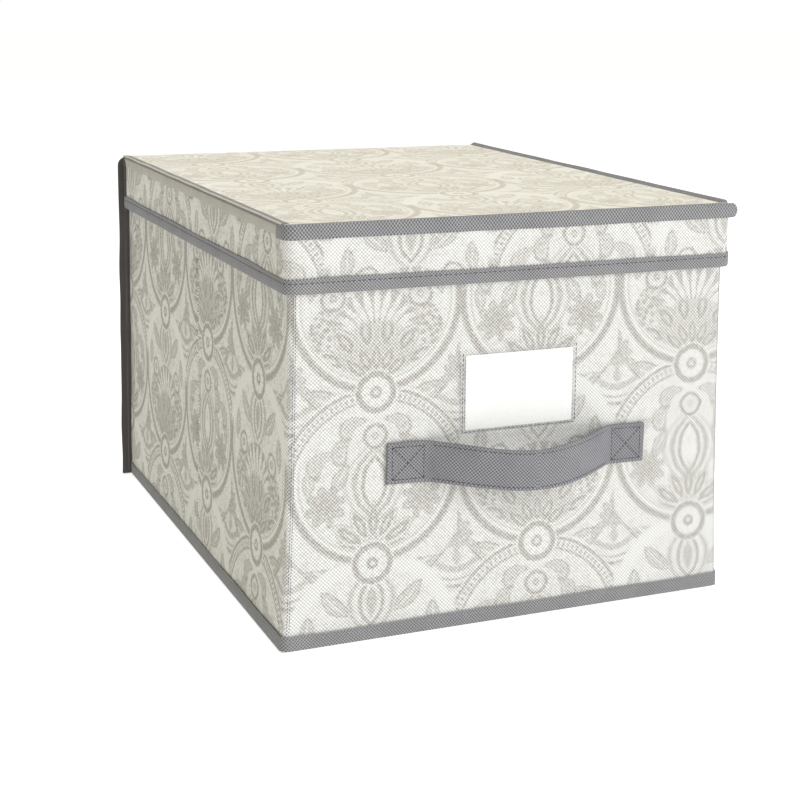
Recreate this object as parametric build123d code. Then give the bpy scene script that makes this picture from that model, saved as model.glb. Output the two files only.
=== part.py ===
from build123d import *
import math
import os

# Lidded fabric storage bin, in millimetres.
# The front faces -Y, +Z is up, and the origin is the middle of the base, on the surface it stands on.

# Overall sizes, over the outer fabric
BODY_WIDTH = 298.0
BODY_DEPTH = 388.0
TOTAL_HEIGHT = 258.0

# Plies of the walls and of the lid's panel
COVER_PLY = 0.8
BOARD_PLY = 2.0
LINING_PLY = 0.8
BOARD_MARGIN = 4.0
CREASE_GAP = 6.0

# Bias bindings
BINDING_PLY = 0.8
FOOT_BINDING_HEIGHT = 9.0
RIM_BINDING_HEIGHT = 9.0
SEAM_FLANGE_REACH = 8.0
SEAM_FLANGE_PLY = 2.0

# Lid
SKIRT_HEIGHT = 41.0
SKIRT_PLY = 0.7
EDGE_BINDING_ON_TOP = 5.0
EDGE_BINDING_TOP_PLY = 0.4
EDGE_BINDING_DROP = 9.0
HEM_BINDING_HEIGHT = 9.5
END_BINDING_WIDTH = 5.0
LID_SIDE_GAP = 0.4
LID_REST_GAP = 0.4
LID_END_CLEARANCE = 0.6
LID_BOARD_MARGIN = 1.0

# Loose base board
BASE_CORE_PLY = 2.4
BASE_WRAP_PLY = 0.6
BASE_CLEARANCE = 2.0

# Label pocket and card, sewn to the front
FITTINGS_OFFSET = 2.0
CARD_WIDTH = 74.0
CARD_HEIGHT = 47.0
CARD_PLY = 0.35
CARD_BOTTOM = 124.4
CARD_SIDE_PLAY = 1.0
CARD_FACE_PLAY = 0.35
FILM_PLY = 0.4
FILM_EDGE = 2.4
FILM_ABOVE_CARD = 2.0

# Strap handle, sewn to the front
STRAP_WIDTH = 26.0
STRAP_PLY = 2.4
STRAP_PATCH = 26.0
STRAP_SPAN = 127.0
STRAP_BOW = 27.0
STRAP_MIDDLE_Z = 107.5
STRAP_FIXED_END = 11.5
STRAP_CUT_GAP = 0.3

# Stitching
THREAD = 0.7
THREAD_PROUD = 0.3
STITCH_INSET = 3.0

WALL_PLY = COVER_PLY + BOARD_PLY + LINING_PLY
HALF_WIDTH = BODY_WIDTH / 2
HALF_DEPTH = BODY_DEPTH / 2
INSIDE_X = HALF_WIDTH - WALL_PLY
INSIDE_Y = HALF_DEPTH - WALL_PLY
LID_TOP = TOTAL_HEIGHT - EDGE_BINDING_TOP_PLY
LID_UNDERSIDE = LID_TOP - WALL_PLY
RIM_TOP = LID_UNDERSIDE - LID_REST_GAP
WALL_TOP = RIM_TOP - BINDING_PLY
HEM_CLEARANCE = BINDING_PLY + LID_SIDE_GAP
SKIRT_INSIDE = HEM_CLEARANCE + BINDING_PLY
SKIRT_OUTSIDE = SKIRT_INSIDE + 2 * SKIRT_PLY
LID_HALF_WIDTH = HALF_WIDTH + SKIRT_OUTSIDE
LID_FRONT = HALF_DEPTH + SKIRT_OUTSIDE
HEM_Z = LID_TOP - SKIRT_HEIGHT
FLANGE_FRONT = HALF_DEPTH - SEAM_FLANGE_PLY
SKIRT_BACK = FLANGE_FRONT - LID_END_CLEARANCE - BINDING_PLY
POCKET_DEPTH = CARD_PLY + 2 * CARD_FACE_PLAY

parts = {}


def block(x, y, z):
    """A plain block between two values along each axis."""
    size = (x[1] - x[0], y[1] - y[0], z[1] - z[0])
    middle = ((x[0] + x[1]) / 2, (y[0] + y[1]) / 2, (z[0] + z[1]) / 2)
    return Pos(*middle) * Box(*size)


def both_sides(name, solid):
    """Keeps a piece of the left side, and its mirror image for the right side."""
    parts["left_" + name] = solid
    parts["right_" + name] = mirror(solid, about=Plane.YZ)


def walls():
    """The four walls: cover, stiffener board and lining, with each side board in two halves."""
    cover_x = HALF_WIDTH - COVER_PLY
    cover_y = HALF_DEPTH - COVER_PLY
    board_x = cover_x - BOARD_PLY
    board_y = cover_y - BOARD_PLY
    rise = (COVER_PLY, WALL_TOP)
    board_rise = (COVER_PLY + BOARD_MARGIN, WALL_TOP - BOARD_MARGIN)

    parts["front_cover"] = block((-HALF_WIDTH, HALF_WIDTH), (-HALF_DEPTH, -cover_y), rise)
    parts["back_cover"] = block((-HALF_WIDTH, HALF_WIDTH), (cover_y, HALF_DEPTH), (COVER_PLY, RIM_TOP))
    both_sides("cover", block((-HALF_WIDTH, -cover_x), (-cover_y, cover_y), rise))

    parts["front_board"] = block((-board_x, board_x), (-cover_y, -board_y), board_rise)
    parts["back_board"] = block((-board_x, board_x), (board_y, cover_y), board_rise)
    both_sides("front_side_board", block((-cover_x, -board_x), (-board_y, -CREASE_GAP / 2), board_rise))
    both_sides("rear_side_board", block((-cover_x, -board_x), (CREASE_GAP / 2, board_y), board_rise))

    parts["front_lining"] = block((-board_x, board_x), (-board_y, -INSIDE_Y), rise)
    parts["back_lining"] = block((-board_x, board_x), (INSIDE_Y, board_y), rise)
    both_sides("lining", block((-board_x, -INSIDE_X), (-INSIDE_Y, INSIDE_Y), rise))


def floor():
    """The outer floor fabric and the lining over it."""
    parts["bottom_cover"] = block((-HALF_WIDTH, HALF_WIDTH), (-HALF_DEPTH, HALF_DEPTH), (0, COVER_PLY))
    lining_rise = (COVER_PLY, COVER_PLY + LINING_PLY)
    parts["bottom_lining"] = block((-INSIDE_X, INSIDE_X), (-INSIDE_Y, INSIDE_Y), lining_rise)


def foot_binding():
    """The binding round the foot of the walls, in four strips, rounded at the front corners."""
    rise = (0, FOOT_BINDING_HEIGHT)
    out_x = HALF_WIDTH + BINDING_PLY
    out_y = HALF_DEPTH + BINDING_PLY
    corner = 2.5 * BINDING_PLY
    front = block((-out_x, out_x), (-out_y, -HALF_DEPTH + corner), rise)
    front = fillet(front.edges().filter_by(Axis.Z).group_by(Axis.Y)[0], corner)
    body = block((-HALF_WIDTH, HALF_WIDTH), (-HALF_DEPTH, HALF_DEPTH), rise)
    parts["front_foot_binding"] = front - body
    parts["back_foot_binding"] = block((-HALF_WIDTH, HALF_WIDTH), (HALF_DEPTH, out_y), rise)
    run = (-HALF_DEPTH + corner, FLANGE_FRONT)
    both_sides("foot_binding", block((-out_x, -HALF_WIDTH), run, rise))


def rim_binding():
    """The binding folded over the top edges of the front and side walls, a channel in section."""
    rise = (RIM_TOP - RIM_BINDING_HEIGHT, RIM_TOP)
    slot_rise = (rise[0], WALL_TOP)
    out_x = HALF_WIDTH + BINDING_PLY
    in_x = INSIDE_X - BINDING_PLY
    in_y = INSIDE_Y - BINDING_PLY
    front = block((-out_x, out_x), (-HALF_DEPTH - BINDING_PLY, -in_y), rise)
    front -= block((-HALF_WIDTH, HALF_WIDTH), (-HALF_DEPTH, -INSIDE_Y), slot_rise)
    front -= block((-HALF_WIDTH, -INSIDE_X), (-INSIDE_Y, -in_y), slot_rise)
    front -= block((INSIDE_X, HALF_WIDTH), (-INSIDE_Y, -in_y), slot_rise)
    parts["front_rim_binding"] = front
    run = (-in_y, INSIDE_Y)
    side = block((-out_x, -in_x), run, rise) - block((-HALF_WIDTH, -INSIDE_X), run, slot_rise)
    both_sides("rim_binding", side)


def rear_seams():
    """The bound seams that stand out sideways at the two rear corners, rounded at the top."""
    outer = -HALF_WIDTH - SEAM_FLANGE_REACH
    flange = block((outer, -HALF_WIDTH), (FLANGE_FRONT, HALF_DEPTH), (0, RIM_TOP))
    top_outer_edge = flange.edges().filter_by(Axis.Y).group_by(Axis.Z)[-1].sort_by(Axis.X)[0]
    both_sides("rear_seam_binding", fillet(top_outer_edge, SEAM_FLANGE_REACH / 2))


def side_creases():
    """The line of thread down the middle of each side wall, between its two boards."""
    rise = (FOOT_BINDING_HEIGHT + STITCH_INSET, HEM_Z - STITCH_INSET)
    line = block((-HALF_WIDTH - THREAD_PROUD, -HALF_WIDTH), (-THREAD / 2, THREAD / 2), rise)
    both_sides("crease_stitching", line)


def base_board():
    """The loose stiff board in the floor: a core sealed in a fabric wrap."""
    under = COVER_PLY + LINING_PLY
    half_x = INSIDE_X - BASE_CLEARANCE
    half_y = INSIDE_Y - BASE_CLEARANCE
    core_x = half_x - BASE_WRAP_PLY
    core_y = half_y - BASE_WRAP_PLY
    core_z = under + BASE_WRAP_PLY
    core = block((-core_x, core_x), (-core_y, core_y), (core_z, core_z + BASE_CORE_PLY))
    wrap = block((-half_x, half_x), (-half_y, half_y), (under, core_z + BASE_CORE_PLY + BASE_WRAP_PLY))
    parts["base_board_core"] = core
    parts["base_board_wrap"] = wrap - core


def label():
    """The clear pocket on the front, open at the top, and the card that slides up out of it."""
    left = FITTINGS_OFFSET - CARD_WIDTH / 2
    right = FITTINGS_OFFSET + CARD_WIDTH / 2
    wall = -HALF_DEPTH
    card_back = wall - CARD_FACE_PLAY
    card_rise = (CARD_BOTTOM, CARD_BOTTOM + CARD_HEIGHT)
    parts["label_card"] = block((left, right), (card_back - CARD_PLY, card_back), card_rise)

    pocket = (left - CARD_SIDE_PLAY, right + CARD_SIDE_PLAY)
    edges = (pocket[0] - FILM_EDGE, pocket[1] + FILM_EDGE)
    rise = (CARD_BOTTOM - FILM_EDGE, card_rise[1] + FILM_ABOVE_CARD)
    face = wall - POCKET_DEPTH - FILM_PLY
    parts["label_film"] = block(edges, (face, wall - POCKET_DEPTH), rise)
    depth = (wall - POCKET_DEPTH, wall)
    left_edge = block((edges[0], pocket[0]), depth, (CARD_BOTTOM, rise[1]))
    right_edge = block((pocket[1], edges[1]), depth, (CARD_BOTTOM, rise[1]))
    lower_edge = block(edges, depth, (rise[0], CARD_BOTTOM))
    parts["label_film_edging"] = Compound([left_edge, right_edge, lower_edge])

    inset = (FILM_EDGE - THREAD) / 2
    proud = (face - THREAD_PROUD, face)
    seam = block((edges[0] + inset, edges[1] - inset), proud, (rise[0] + inset, rise[1]))
    inner_x = (edges[0] + inset + THREAD, edges[1] - inset - THREAD)
    parts["label_stitching"] = seam - block(inner_x, proud, (rise[0] + inset + THREAD, rise[1]))


def handle():
    """The webbing handle: a flat sewn end at each side, and between them the bowed grip that swings."""
    wall = -HALF_DEPTH
    half = STRAP_SPAN / 2
    rise = (STRAP_MIDDLE_Z - STRAP_WIDTH / 2, STRAP_MIDDLE_Z + STRAP_WIDTH / 2)
    radius = (half ** 2 + STRAP_BOW ** 2) / (2 * STRAP_BOW)
    centre_y = wall - STRAP_PLY / 2 - STRAP_BOW + radius
    ring = Cylinder(radius + STRAP_PLY / 2, STRAP_WIDTH) - Cylinder(radius - STRAP_PLY / 2, STRAP_WIDTH)
    ring = Pos(0, centre_y, STRAP_MIDDLE_Z) * ring
    reach = (wall - 2 * STRAP_BOW, wall)
    cut = half - STRAP_FIXED_END
    grip = ring & block((-cut, cut), reach, rise)
    end = ring & block((-half - STRAP_PATCH, -cut - STRAP_CUT_GAP), reach, rise)
    end += block((-half - STRAP_PATCH, -half), (wall - STRAP_PLY, wall), rise)

    face = (wall - STRAP_PLY - THREAD_PROUD, wall - STRAP_PLY)
    box_size = STRAP_PATCH - 2 * STITCH_INSET
    box_height = STRAP_WIDTH - 2 * STITCH_INSET
    diagonal = math.hypot(box_size, box_height)
    slope = math.degrees(math.atan2(box_height, box_size))
    threads = Box(box_size, THREAD_PROUD, box_height)
    threads -= Box(box_size - 2 * THREAD, THREAD_PROUD, box_height - 2 * THREAD)
    for angle in (slope, -slope):
        threads += Rot(0, angle, 0) * Box(diagonal - 2 * THREAD, THREAD_PROUD, THREAD)
    threads = Pos(-half - STRAP_PATCH / 2, (face[0] + face[1]) / 2, STRAP_MIDDLE_Z) * threads

    shift = Pos(FITTINGS_OFFSET, 0, 0)
    parts["handle_grip"] = shift * grip
    parts["left_handle_end"] = shift * end
    parts["right_handle_end"] = shift * mirror(end, about=Plane.YZ)
    parts["left_handle_stitching"] = shift * threads
    parts["right_handle_stitching"] = shift * mirror(threads, about=Plane.YZ)


def lid_panel():
    """The lid's flat panel: cover, board and lining, with the fold of cloth that hinges it at the back."""
    cover_back = HALF_DEPTH - COVER_PLY
    inner_x = HALF_WIDTH + SKIRT_INSIDE
    inner_y = HALF_DEPTH + SKIRT_INSIDE
    board_z = LID_UNDERSIDE + LINING_PLY
    cover_z = board_z + BOARD_PLY
    board_x = inner_x - LID_BOARD_MARGIN
    board_y = (-inner_y + LID_BOARD_MARGIN, cover_back - LID_BOARD_MARGIN)
    parts["lid_cover"] = block((-LID_HALF_WIDTH, LID_HALF_WIDTH), (-LID_FRONT, cover_back), (cover_z, LID_TOP))
    parts["lid_board"] = block((-board_x, board_x), board_y, (board_z, cover_z))
    parts["lid_lining"] = block((-inner_x, inner_x), (-inner_y, cover_back), (LID_UNDERSIDE, board_z))
    fold_rise = (LID_UNDERSIDE, LID_TOP)
    parts["lid_hinge_fold"] = block((-HALF_WIDTH, HALF_WIDTH), (cover_back, HALF_DEPTH), fold_rise)


def lid_skirt():
    """The skirt on the front and the sides of the lid: an outer ply and an inner ply."""
    rise = (HEM_Z + BINDING_PLY, LID_TOP - COVER_PLY)
    middle = SKIRT_INSIDE + SKIRT_PLY
    outer_x = (-LID_HALF_WIDTH, -HALF_WIDTH - middle)
    inner_x = (-HALF_WIDTH - middle, -HALF_WIDTH - SKIRT_INSIDE)
    outer_y = (-LID_FRONT, -HALF_DEPTH - middle)
    inner_y = (-HALF_DEPTH - middle, -HALF_DEPTH - SKIRT_INSIDE)
    parts["front_skirt_cover"] = block((-LID_HALF_WIDTH, LID_HALF_WIDTH), outer_y, rise)
    parts["front_skirt_lining"] = block((inner_x[0], -inner_x[0]), inner_y, rise)
    both_sides("skirt_cover", block(outer_x, (outer_y[1], SKIRT_BACK), rise))
    both_sides("skirt_lining", block(inner_x, (inner_y[1], SKIRT_BACK), rise))


def lid_edge_binding():
    """The binding over the lid's top edges: a strip on top and a deeper band down the skirt."""
    out_x = LID_HALF_WIDTH + BINDING_PLY
    out_y = LID_FRONT + BINDING_PLY
    band_rise = (TOTAL_HEIGHT - EDGE_BINDING_DROP, TOTAL_HEIGHT)
    top_rise = (LID_TOP, TOTAL_HEIGHT)
    strip_x = LID_HALF_WIDTH - EDGE_BINDING_ON_TOP
    strip_y = LID_FRONT - EDGE_BINDING_ON_TOP
    front = block((-out_x, out_x), (-out_y, -LID_FRONT), band_rise)
    front += block((-LID_HALF_WIDTH, LID_HALF_WIDTH), (-LID_FRONT, -strip_y), top_rise)
    parts["front_edge_binding"] = front
    side = block((-out_x, -LID_HALF_WIDTH), (-LID_FRONT, SKIRT_BACK), band_rise)
    side += block((-LID_HALF_WIDTH, -strip_x), (-strip_y, SKIRT_BACK), top_rise)
    both_sides("edge_binding", side)


def lid_hem_binding():
    """The binding folded round the lower edge of the skirt, a channel in section."""
    rise = (HEM_Z, HEM_Z + HEM_BINDING_HEIGHT)
    slot_rise = (HEM_Z + BINDING_PLY, rise[1])
    out_x = LID_HALF_WIDTH + BINDING_PLY
    skirt_x = (-LID_HALF_WIDTH, -HALF_WIDTH - SKIRT_INSIDE)
    skirt_y = (-LID_FRONT, -HALF_DEPTH - SKIRT_INSIDE)
    clear_x = HALF_WIDTH + HEM_CLEARANCE
    clear_y = HALF_DEPTH + HEM_CLEARANCE
    front = block((-out_x, out_x), (-LID_FRONT - BINDING_PLY, -clear_y), rise)
    front -= block((skirt_x[0], -skirt_x[0]), skirt_y, slot_rise)
    front -= block(skirt_x, (skirt_y[1], -clear_y), slot_rise)
    front -= block((-skirt_x[1], -skirt_x[0]), (skirt_y[1], -clear_y), slot_rise)
    parts["front_hem_binding"] = front
    run = (-clear_y, SKIRT_BACK)
    both_sides("hem_binding", block((-out_x, -clear_x), run, rise) - block(skirt_x, run, slot_rise))


def skirt_end_binding():
    """The short upright binding round the rear end of each side skirt."""
    rise = (HEM_Z + HEM_BINDING_HEIGHT, TOTAL_HEIGHT - EDGE_BINDING_DROP)
    across = (-LID_HALF_WIDTH - BINDING_PLY, -HALF_WIDTH - HEM_CLEARANCE)
    end = block(across, (SKIRT_BACK - END_BINDING_WIDTH, SKIRT_BACK + BINDING_PLY), rise)
    skirt = block((-LID_HALF_WIDTH, -HALF_WIDTH - SKIRT_INSIDE), (SKIRT_BACK - END_BINDING_WIDTH, SKIRT_BACK), rise)
    both_sides("skirt_end_binding", end - skirt)


walls()
floor()
foot_binding()
rim_binding()
rear_seams()
side_creases()
base_board()
label()
handle()
lid_panel()
lid_skirt()
lid_edge_binding()
lid_hem_binding()
skirt_end_binding()

os.makedirs("parts", exist_ok=True)
for name, solid in parts.items():
    export_step(solid, f"parts/{name}.step")
print(len(parts), "nodes")
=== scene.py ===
"""Look of a lidded cloth storage bin.

It has printed cloth over board, grey bindings, a webbing handle and a label pocket.
"""

import logging
import math
from dataclasses import dataclass, field
from enum import Enum
from typing import Iterable, Optional, Sequence, Tuple, Union

import bpy
import numpy as np
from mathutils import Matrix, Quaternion, Vector


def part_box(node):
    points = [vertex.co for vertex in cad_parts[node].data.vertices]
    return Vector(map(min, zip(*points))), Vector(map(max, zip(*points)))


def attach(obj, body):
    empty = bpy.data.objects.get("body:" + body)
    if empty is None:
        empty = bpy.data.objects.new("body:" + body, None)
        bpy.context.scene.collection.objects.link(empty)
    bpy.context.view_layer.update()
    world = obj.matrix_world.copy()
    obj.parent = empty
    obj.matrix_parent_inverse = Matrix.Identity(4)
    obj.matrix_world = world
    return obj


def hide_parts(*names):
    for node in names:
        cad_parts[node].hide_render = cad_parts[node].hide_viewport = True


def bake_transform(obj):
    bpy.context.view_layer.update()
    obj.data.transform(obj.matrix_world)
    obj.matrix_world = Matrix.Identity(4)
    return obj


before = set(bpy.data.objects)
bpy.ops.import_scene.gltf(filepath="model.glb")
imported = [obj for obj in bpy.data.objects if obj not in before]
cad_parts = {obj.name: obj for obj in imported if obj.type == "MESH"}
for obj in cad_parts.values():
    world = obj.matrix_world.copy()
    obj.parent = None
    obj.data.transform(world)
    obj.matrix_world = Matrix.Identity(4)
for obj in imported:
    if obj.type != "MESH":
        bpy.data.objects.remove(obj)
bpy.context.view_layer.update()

LOG = logging.getLogger("storage_bin")
MM = 0.001
CLOTH_MAP = "cloth"
HALF_FRONT = 149.0
COVER_PLY = 0.8
LINING_PLY = 0.7
UNDER_PLY = 0.75
SKIRT_PLY = 0.65

CRISP_TURN = 38.0
STITCH_SIDES = 6

Array = np.ndarray
Piece = bpy.types.Object
Point = Tuple[float, float, float]
Colour = Tuple[float, float, float]
ShaderColour = Tuple[float, float, float, float]
Number = Union[float, "Field"]

WHITE: ShaderColour = (1.0, 1.0, 1.0, 1.0)
UP: Point = (0.0, 0.0, 1.0)
FORWARD: Point = (0.0, -1.0, 0.0)


class Slot(Enum):
    """Material slots that each piece is logged with."""

    PRINTED = "printed_fabric"
    LINING = "lining_fabric"
    BOARD = "chipboard"
    BINDING = "binding_fabric"
    STRAP = "strap_webbing"
    THREAD = "thread"
    CARD = "card"
    FILM = "clear_film"


class Side(Enum):
    """Left or right half of the bin, seen from the front."""

    LEFT = -1
    RIGHT = 1


def linear(red: float, green: float, blue: float) -> ShaderColour:
    """Turn an 8-bit display colour into the linear colour a shader takes.

    Args:
        red: red from 0 to 255.
        green: green from 0 to 255.
        blue: blue from 0 to 255.

    Returns:
        Linear red, green, blue and an alpha of 1.
    """
    parts = [c / 255.0 for c in (red, green, blue)]
    done = [c / 12.92 if c <= 0.04045 else ((c + 0.055) / 1.055) ** 2.4 for c in parts]
    return (done[0], done[1], done[2], 1.0)


# shapes


@dataclass(frozen=True)
class Stitch:
    """Length of a stitch, thickness of its thread and distance to the next one, mm."""

    length: float
    width: float
    pitch: float


FOOT_STITCH = Stitch(2.1, 0.34, 3.3)
CORNER_STITCH = Stitch(1.15, 0.5, 1.9)
RIM_STITCH = Stitch(2.2, 0.42, 3.6)
SEAM_STITCH = Stitch(2.2, 0.42, 3.4)
CREASE_STITCH = Stitch(2.2, 0.42, 3.2)
POCKET_STITCH = Stitch(2.2, 0.55, 3.0)
BOX_STITCH = Stitch(2.1, 0.5, 2.7)
STRAP_STITCH = Stitch(2.2, 0.45, 3.1)
HEM_STITCH = Stitch(2.2, 0.5, 3.3)


@dataclass(frozen=True)
class Extent:
    """Box of a CAD node in millimetres."""

    low: Array
    high: Array

    @classmethod
    def of(cls, node: str) -> "Extent":
        """Measure the named CAD node."""
        low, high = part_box(node)
        return cls(np.array(low) / MM, np.array(high) / MM)


def ripple(along: Array, across: Array, seed: int, height: float, length: float) -> Array:
    """Give a calm, seeded waviness for cloth: a sum of five sines that run in seeded directions.

    Args:
        along: first coordinate, mm.
        across: second coordinate, mm.
        seed: which waviness.
        height: half height of the waves, mm.
        length: usual wave length, mm.

    Returns:
        Height of the cloth at each point, mm.
    """
    rng = np.random.default_rng(seed)
    total = np.zeros(np.broadcast(along, across).shape)
    for _ in range(5):
        turn, phase = rng.uniform(0, math.pi), rng.uniform(0, 2 * math.pi)
        number = 2 * math.pi / (length * rng.uniform(0.6, 1.7))
        total = total + np.sin(number * (along * math.cos(turn) + across * math.sin(turn)) + phase)
    return height * total / 2.6


def smooth_step(value: Array, low: float, high: float) -> Array:
    """Rise smoothly from 0 at low to 1 at high."""
    part = np.clip((np.asarray(value, float) - low) / (high - low), 0, 1)
    return part * part * (3 - 2 * part)


def running_length(points: Array) -> Array:
    """Length along a line from its start to each of its points."""
    return np.concatenate([[0.0], np.cumsum(np.linalg.norm(np.diff(points, axis=0), axis=1))])


def everywhere(direction: Sequence[float], count: int) -> Array:
    """Repeat one direction for each of a number of points."""
    return np.tile([float(part) for part in direction], (count, 1))


def ring_section(radius: float, sides: int) -> Array:
    """Section of a round cord: a regular polygon on the circle of the radius."""
    turn = np.linspace(0, 2 * math.pi, sides, endpoint=False)
    return np.stack([radius * np.cos(turn), radius * np.sin(turn)], axis=1)


def corner_pull(past_x: Array, past_y: Array, radius: float) -> Array:
    """Share by which points are drawn towards a corner's middle, so that none lies outside its arc.

    Args:
        past_x: how far each point lies past the corner's middle along x, mm.
        past_y: the same along y, mm.
        radius: radius of the arc, mm.

    Returns:
        The radius over the distance where a point is outside the arc, and 1 elsewhere.
    """
    reach = np.hypot(np.maximum(past_x, 0), np.maximum(past_y, 0))
    outside = (past_x > 0) & (past_y > 0) & (reach > radius)
    return np.where(outside, radius / np.maximum(reach, 1e-6), 1.0)


@dataclass(frozen=True)
class Route:
    """A level line that cloth is carried along, seen from above."""

    points: Array
    outward: Array
    run: Array

    @classmethod
    def rounded(
        cls, corners: Sequence[Tuple[float, float]], radius: float, step: float, closed: bool = False
    ) -> "Route":
        """Join corners by straights and round each turn with an arc of the radius.

        Args:
            corners: corner points in turning order, counter-clockwise from above, mm.
            radius: radius of each rounded turn, mm.
            step: spacing on the straights, mm.
            closed: whether the line comes back to its start.

        Returns:
            The line, its outward directions and its running length from the first rounded turn's middle.
        """
        knots = np.array(corners, float)
        count = len(knots)
        turning = list(range(count)) if closed else list(range(1, count - 1))
        legs: list = []
        first_turn = 0.0
        length = 0.0

        def towards(i: int, j: int) -> Array:
            """Unit direction from corner i to corner j."""
            line = knots[j % count] - knots[i % count]
            return line / np.linalg.norm(line)

        start = knots[0] + (towards(0, 1) * radius if closed else 0)
        for k in turning[1:] + turning[:1] if closed else turning:
            before, after = towards(k - 1, k), towards(k, k + 1)
            stop = knots[k] - before * radius
            pieces = max(int(np.linalg.norm(stop - start) / step), 2)
            legs.append(start + (stop - start) * np.linspace(0, 1, pieces, endpoint=False)[:, None])
            length += float(np.linalg.norm(stop - start))
            turn = np.linspace(0, math.pi / 2, 8, endpoint=False)[:, None]
            legs.append(stop + radius * (before * np.sin(turn) + after * (1 - np.cos(turn))))
            if not first_turn:
                first_turn = length + radius * math.pi / 4
            length += radius * math.pi / 2
            start = knots[k] + after * radius
        if not closed:
            pieces = max(int(np.linalg.norm(knots[-1] - start) / step), 2)
            legs.append(start + (knots[-1] - start) * np.linspace(0, 1, pieces + 1)[:, None])
        line = np.concatenate(legs)
        loop = np.concatenate([line[-1:], line, line[:1]]) if closed else line
        tangent = (loop[2:] - loop[:-2]) if closed else np.gradient(line, axis=0)
        tangent = tangent / np.linalg.norm(tangent, axis=1)[:, None]
        outward = np.stack([tangent[:, 1], -tangent[:, 0]], axis=1)
        return cls(line, outward, running_length(line) - first_turn)

    def at(self, distances: Array) -> "Route":
        """Read the line at other running lengths, for rows of stitches.

        Args:
            distances: running lengths, mm.

        Returns:
            The line with a point at each of them.
        """
        points = np.stack([np.interp(distances, self.run, self.points[:, i]) for i in (0, 1)], axis=1)
        outward = np.stack([np.interp(distances, self.run, self.outward[:, i]) for i in (0, 1)], axis=1)
        return Route(points, outward / np.linalg.norm(outward, axis=1)[:, None], np.asarray(distances, float))


def grid_faces(rows: int, columns: int, loop_rows: bool = False, loop_columns: bool = False) -> Array:
    """Number the four corners of every cell of a grid of points.

    Args:
        rows: points down the grid.
        columns: points across it.
        loop_rows: whether the last row meets the first.
        loop_columns: whether the last column meets the first.

    Returns:
        One row of four point numbers for each cell.
    """
    i, j = np.meshgrid(
        np.arange(rows if loop_rows else rows - 1), np.arange(columns if loop_columns else columns - 1),
        indexing="ij"
    )
    below, beside = (i + 1) % rows, (j + 1) % columns
    return np.stack(
        [i * columns + j, below * columns + j, below * columns + beside, i * columns + beside], axis=-1
    ).reshape(-1, 4)


def make_object(name: str, points: Array, faces: Iterable, maps: Optional[Array] = None) -> Piece:
    """Put points and faces into a mesh object at the origin, facing outwards.

    Args:
        name: name of the piece.
        points: points in millimetres, any shape ending in 3.
        faces: point numbers of each face.
        maps: cloth coordinates of each point in millimetres, or None.

    Returns:
        The object, linked to the scene.
    """
    spots = np.asarray(points, float).reshape(-1, 3)
    polygons = [list(map(int, f)) for f in faces]
    fans = np.array([(f[0], f[k], f[k + 1]) for f in polygons for k in range(1, len(f) - 1)])
    a, b, c = (spots[fans[:, k]] for k in range(3))
    if float((a * np.cross(b, c)).sum()) < 0:
        polygons = [f[::-1] for f in polygons]
    mesh = bpy.data.meshes.new(name)
    mesh.from_pydata((spots * MM).tolist(), [], polygons)
    mesh.polygons.foreach_set("use_smooth", np.ones(len(mesh.polygons), bool))
    if maps is not None:
        layer = mesh.uv_layers.new(name=CLOTH_MAP)
        corners = np.zeros(len(mesh.loops), np.int32)
        mesh.loops.foreach_get("vertex_index", corners)
        layer.data.foreach_set("uv", (np.asarray(maps, float).reshape(-1, 2) * MM)[corners].ravel())
    mesh.update()
    mesh.set_sharp_from_angle(angle=math.radians(CRISP_TURN))
    obj = bpy.data.objects.new(name, mesh)
    bpy.context.collection.objects.link(obj)
    return obj


def cloth_shell(name: str, surface: Array, maps: Array, ply: float) -> Piece:
    """Give a grid of points a thickness.

    A second skin lies back along the normals of the surface, and the two are joined all round their edge.

    Args:
        name: name of the piece.
        surface: outer skin, rows by columns by 3, mm.
        maps: cloth coordinates, rows by columns by 2, mm.
        ply: thickness, mm.

    Returns:
        The closed piece.
    """
    rows, columns = surface.shape[:2]
    normal = np.cross(np.gradient(surface, axis=0), np.gradient(surface, axis=1))
    normal = normal / np.maximum(np.linalg.norm(normal, axis=-1, keepdims=True), 1e-9)
    back = surface - normal * ply
    points = np.concatenate([surface, back[:, ::-1]], axis=1)
    wide = 2 * columns
    faces = grid_faces(rows, wide, loop_columns=True).tolist()
    j = np.arange(columns - 1)
    cap = np.stack([j, j + 1, wide - 2 - j, wide - 1 - j], axis=1)
    faces += cap.tolist() + (cap[:, ::-1] + (rows - 1) * wide).tolist()
    obj = make_object(name, points, faces, np.concatenate([maps, maps[:, ::-1]], axis=1))
    return obj


def sweep(name: str, centre: Array, side: Array, up: Array, section: Array, closed: bool = False) -> Piece:
    """Carry a closed section along a path.

    Each point is the path, plus side times the section's first number, plus up times its second.

    Args:
        name: name of the piece.
        centre: path, n by 3, mm.
        side: sideways direction at each point of the path, n by 3.
        up: upward direction at each point, n by 3.
        section: the section, k by 2, or n by k by 2 where it changes on the way, mm.
        closed: whether the path comes back to its start.

    Returns:
        The closed piece.
    """
    rows = len(centre)
    shape = np.broadcast_to(section, (rows,) + section.shape[-2:])
    columns = shape.shape[1]
    points = centre[:, None] + side[:, None] * shape[..., :1] + up[:, None] * shape[..., 1:]
    faces = grid_faces(rows, columns, closed, True).tolist()
    if not closed:
        faces += [list(range(columns)), list(range(rows * columns - 1, (rows - 1) * columns - 1, -1))]
    maps = np.stack(
        np.broadcast_arrays(running_length(centre)[:, None], running_length(shape[0])[None]), axis=-1
    )
    return make_object(name, points, faces, maps)


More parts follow.
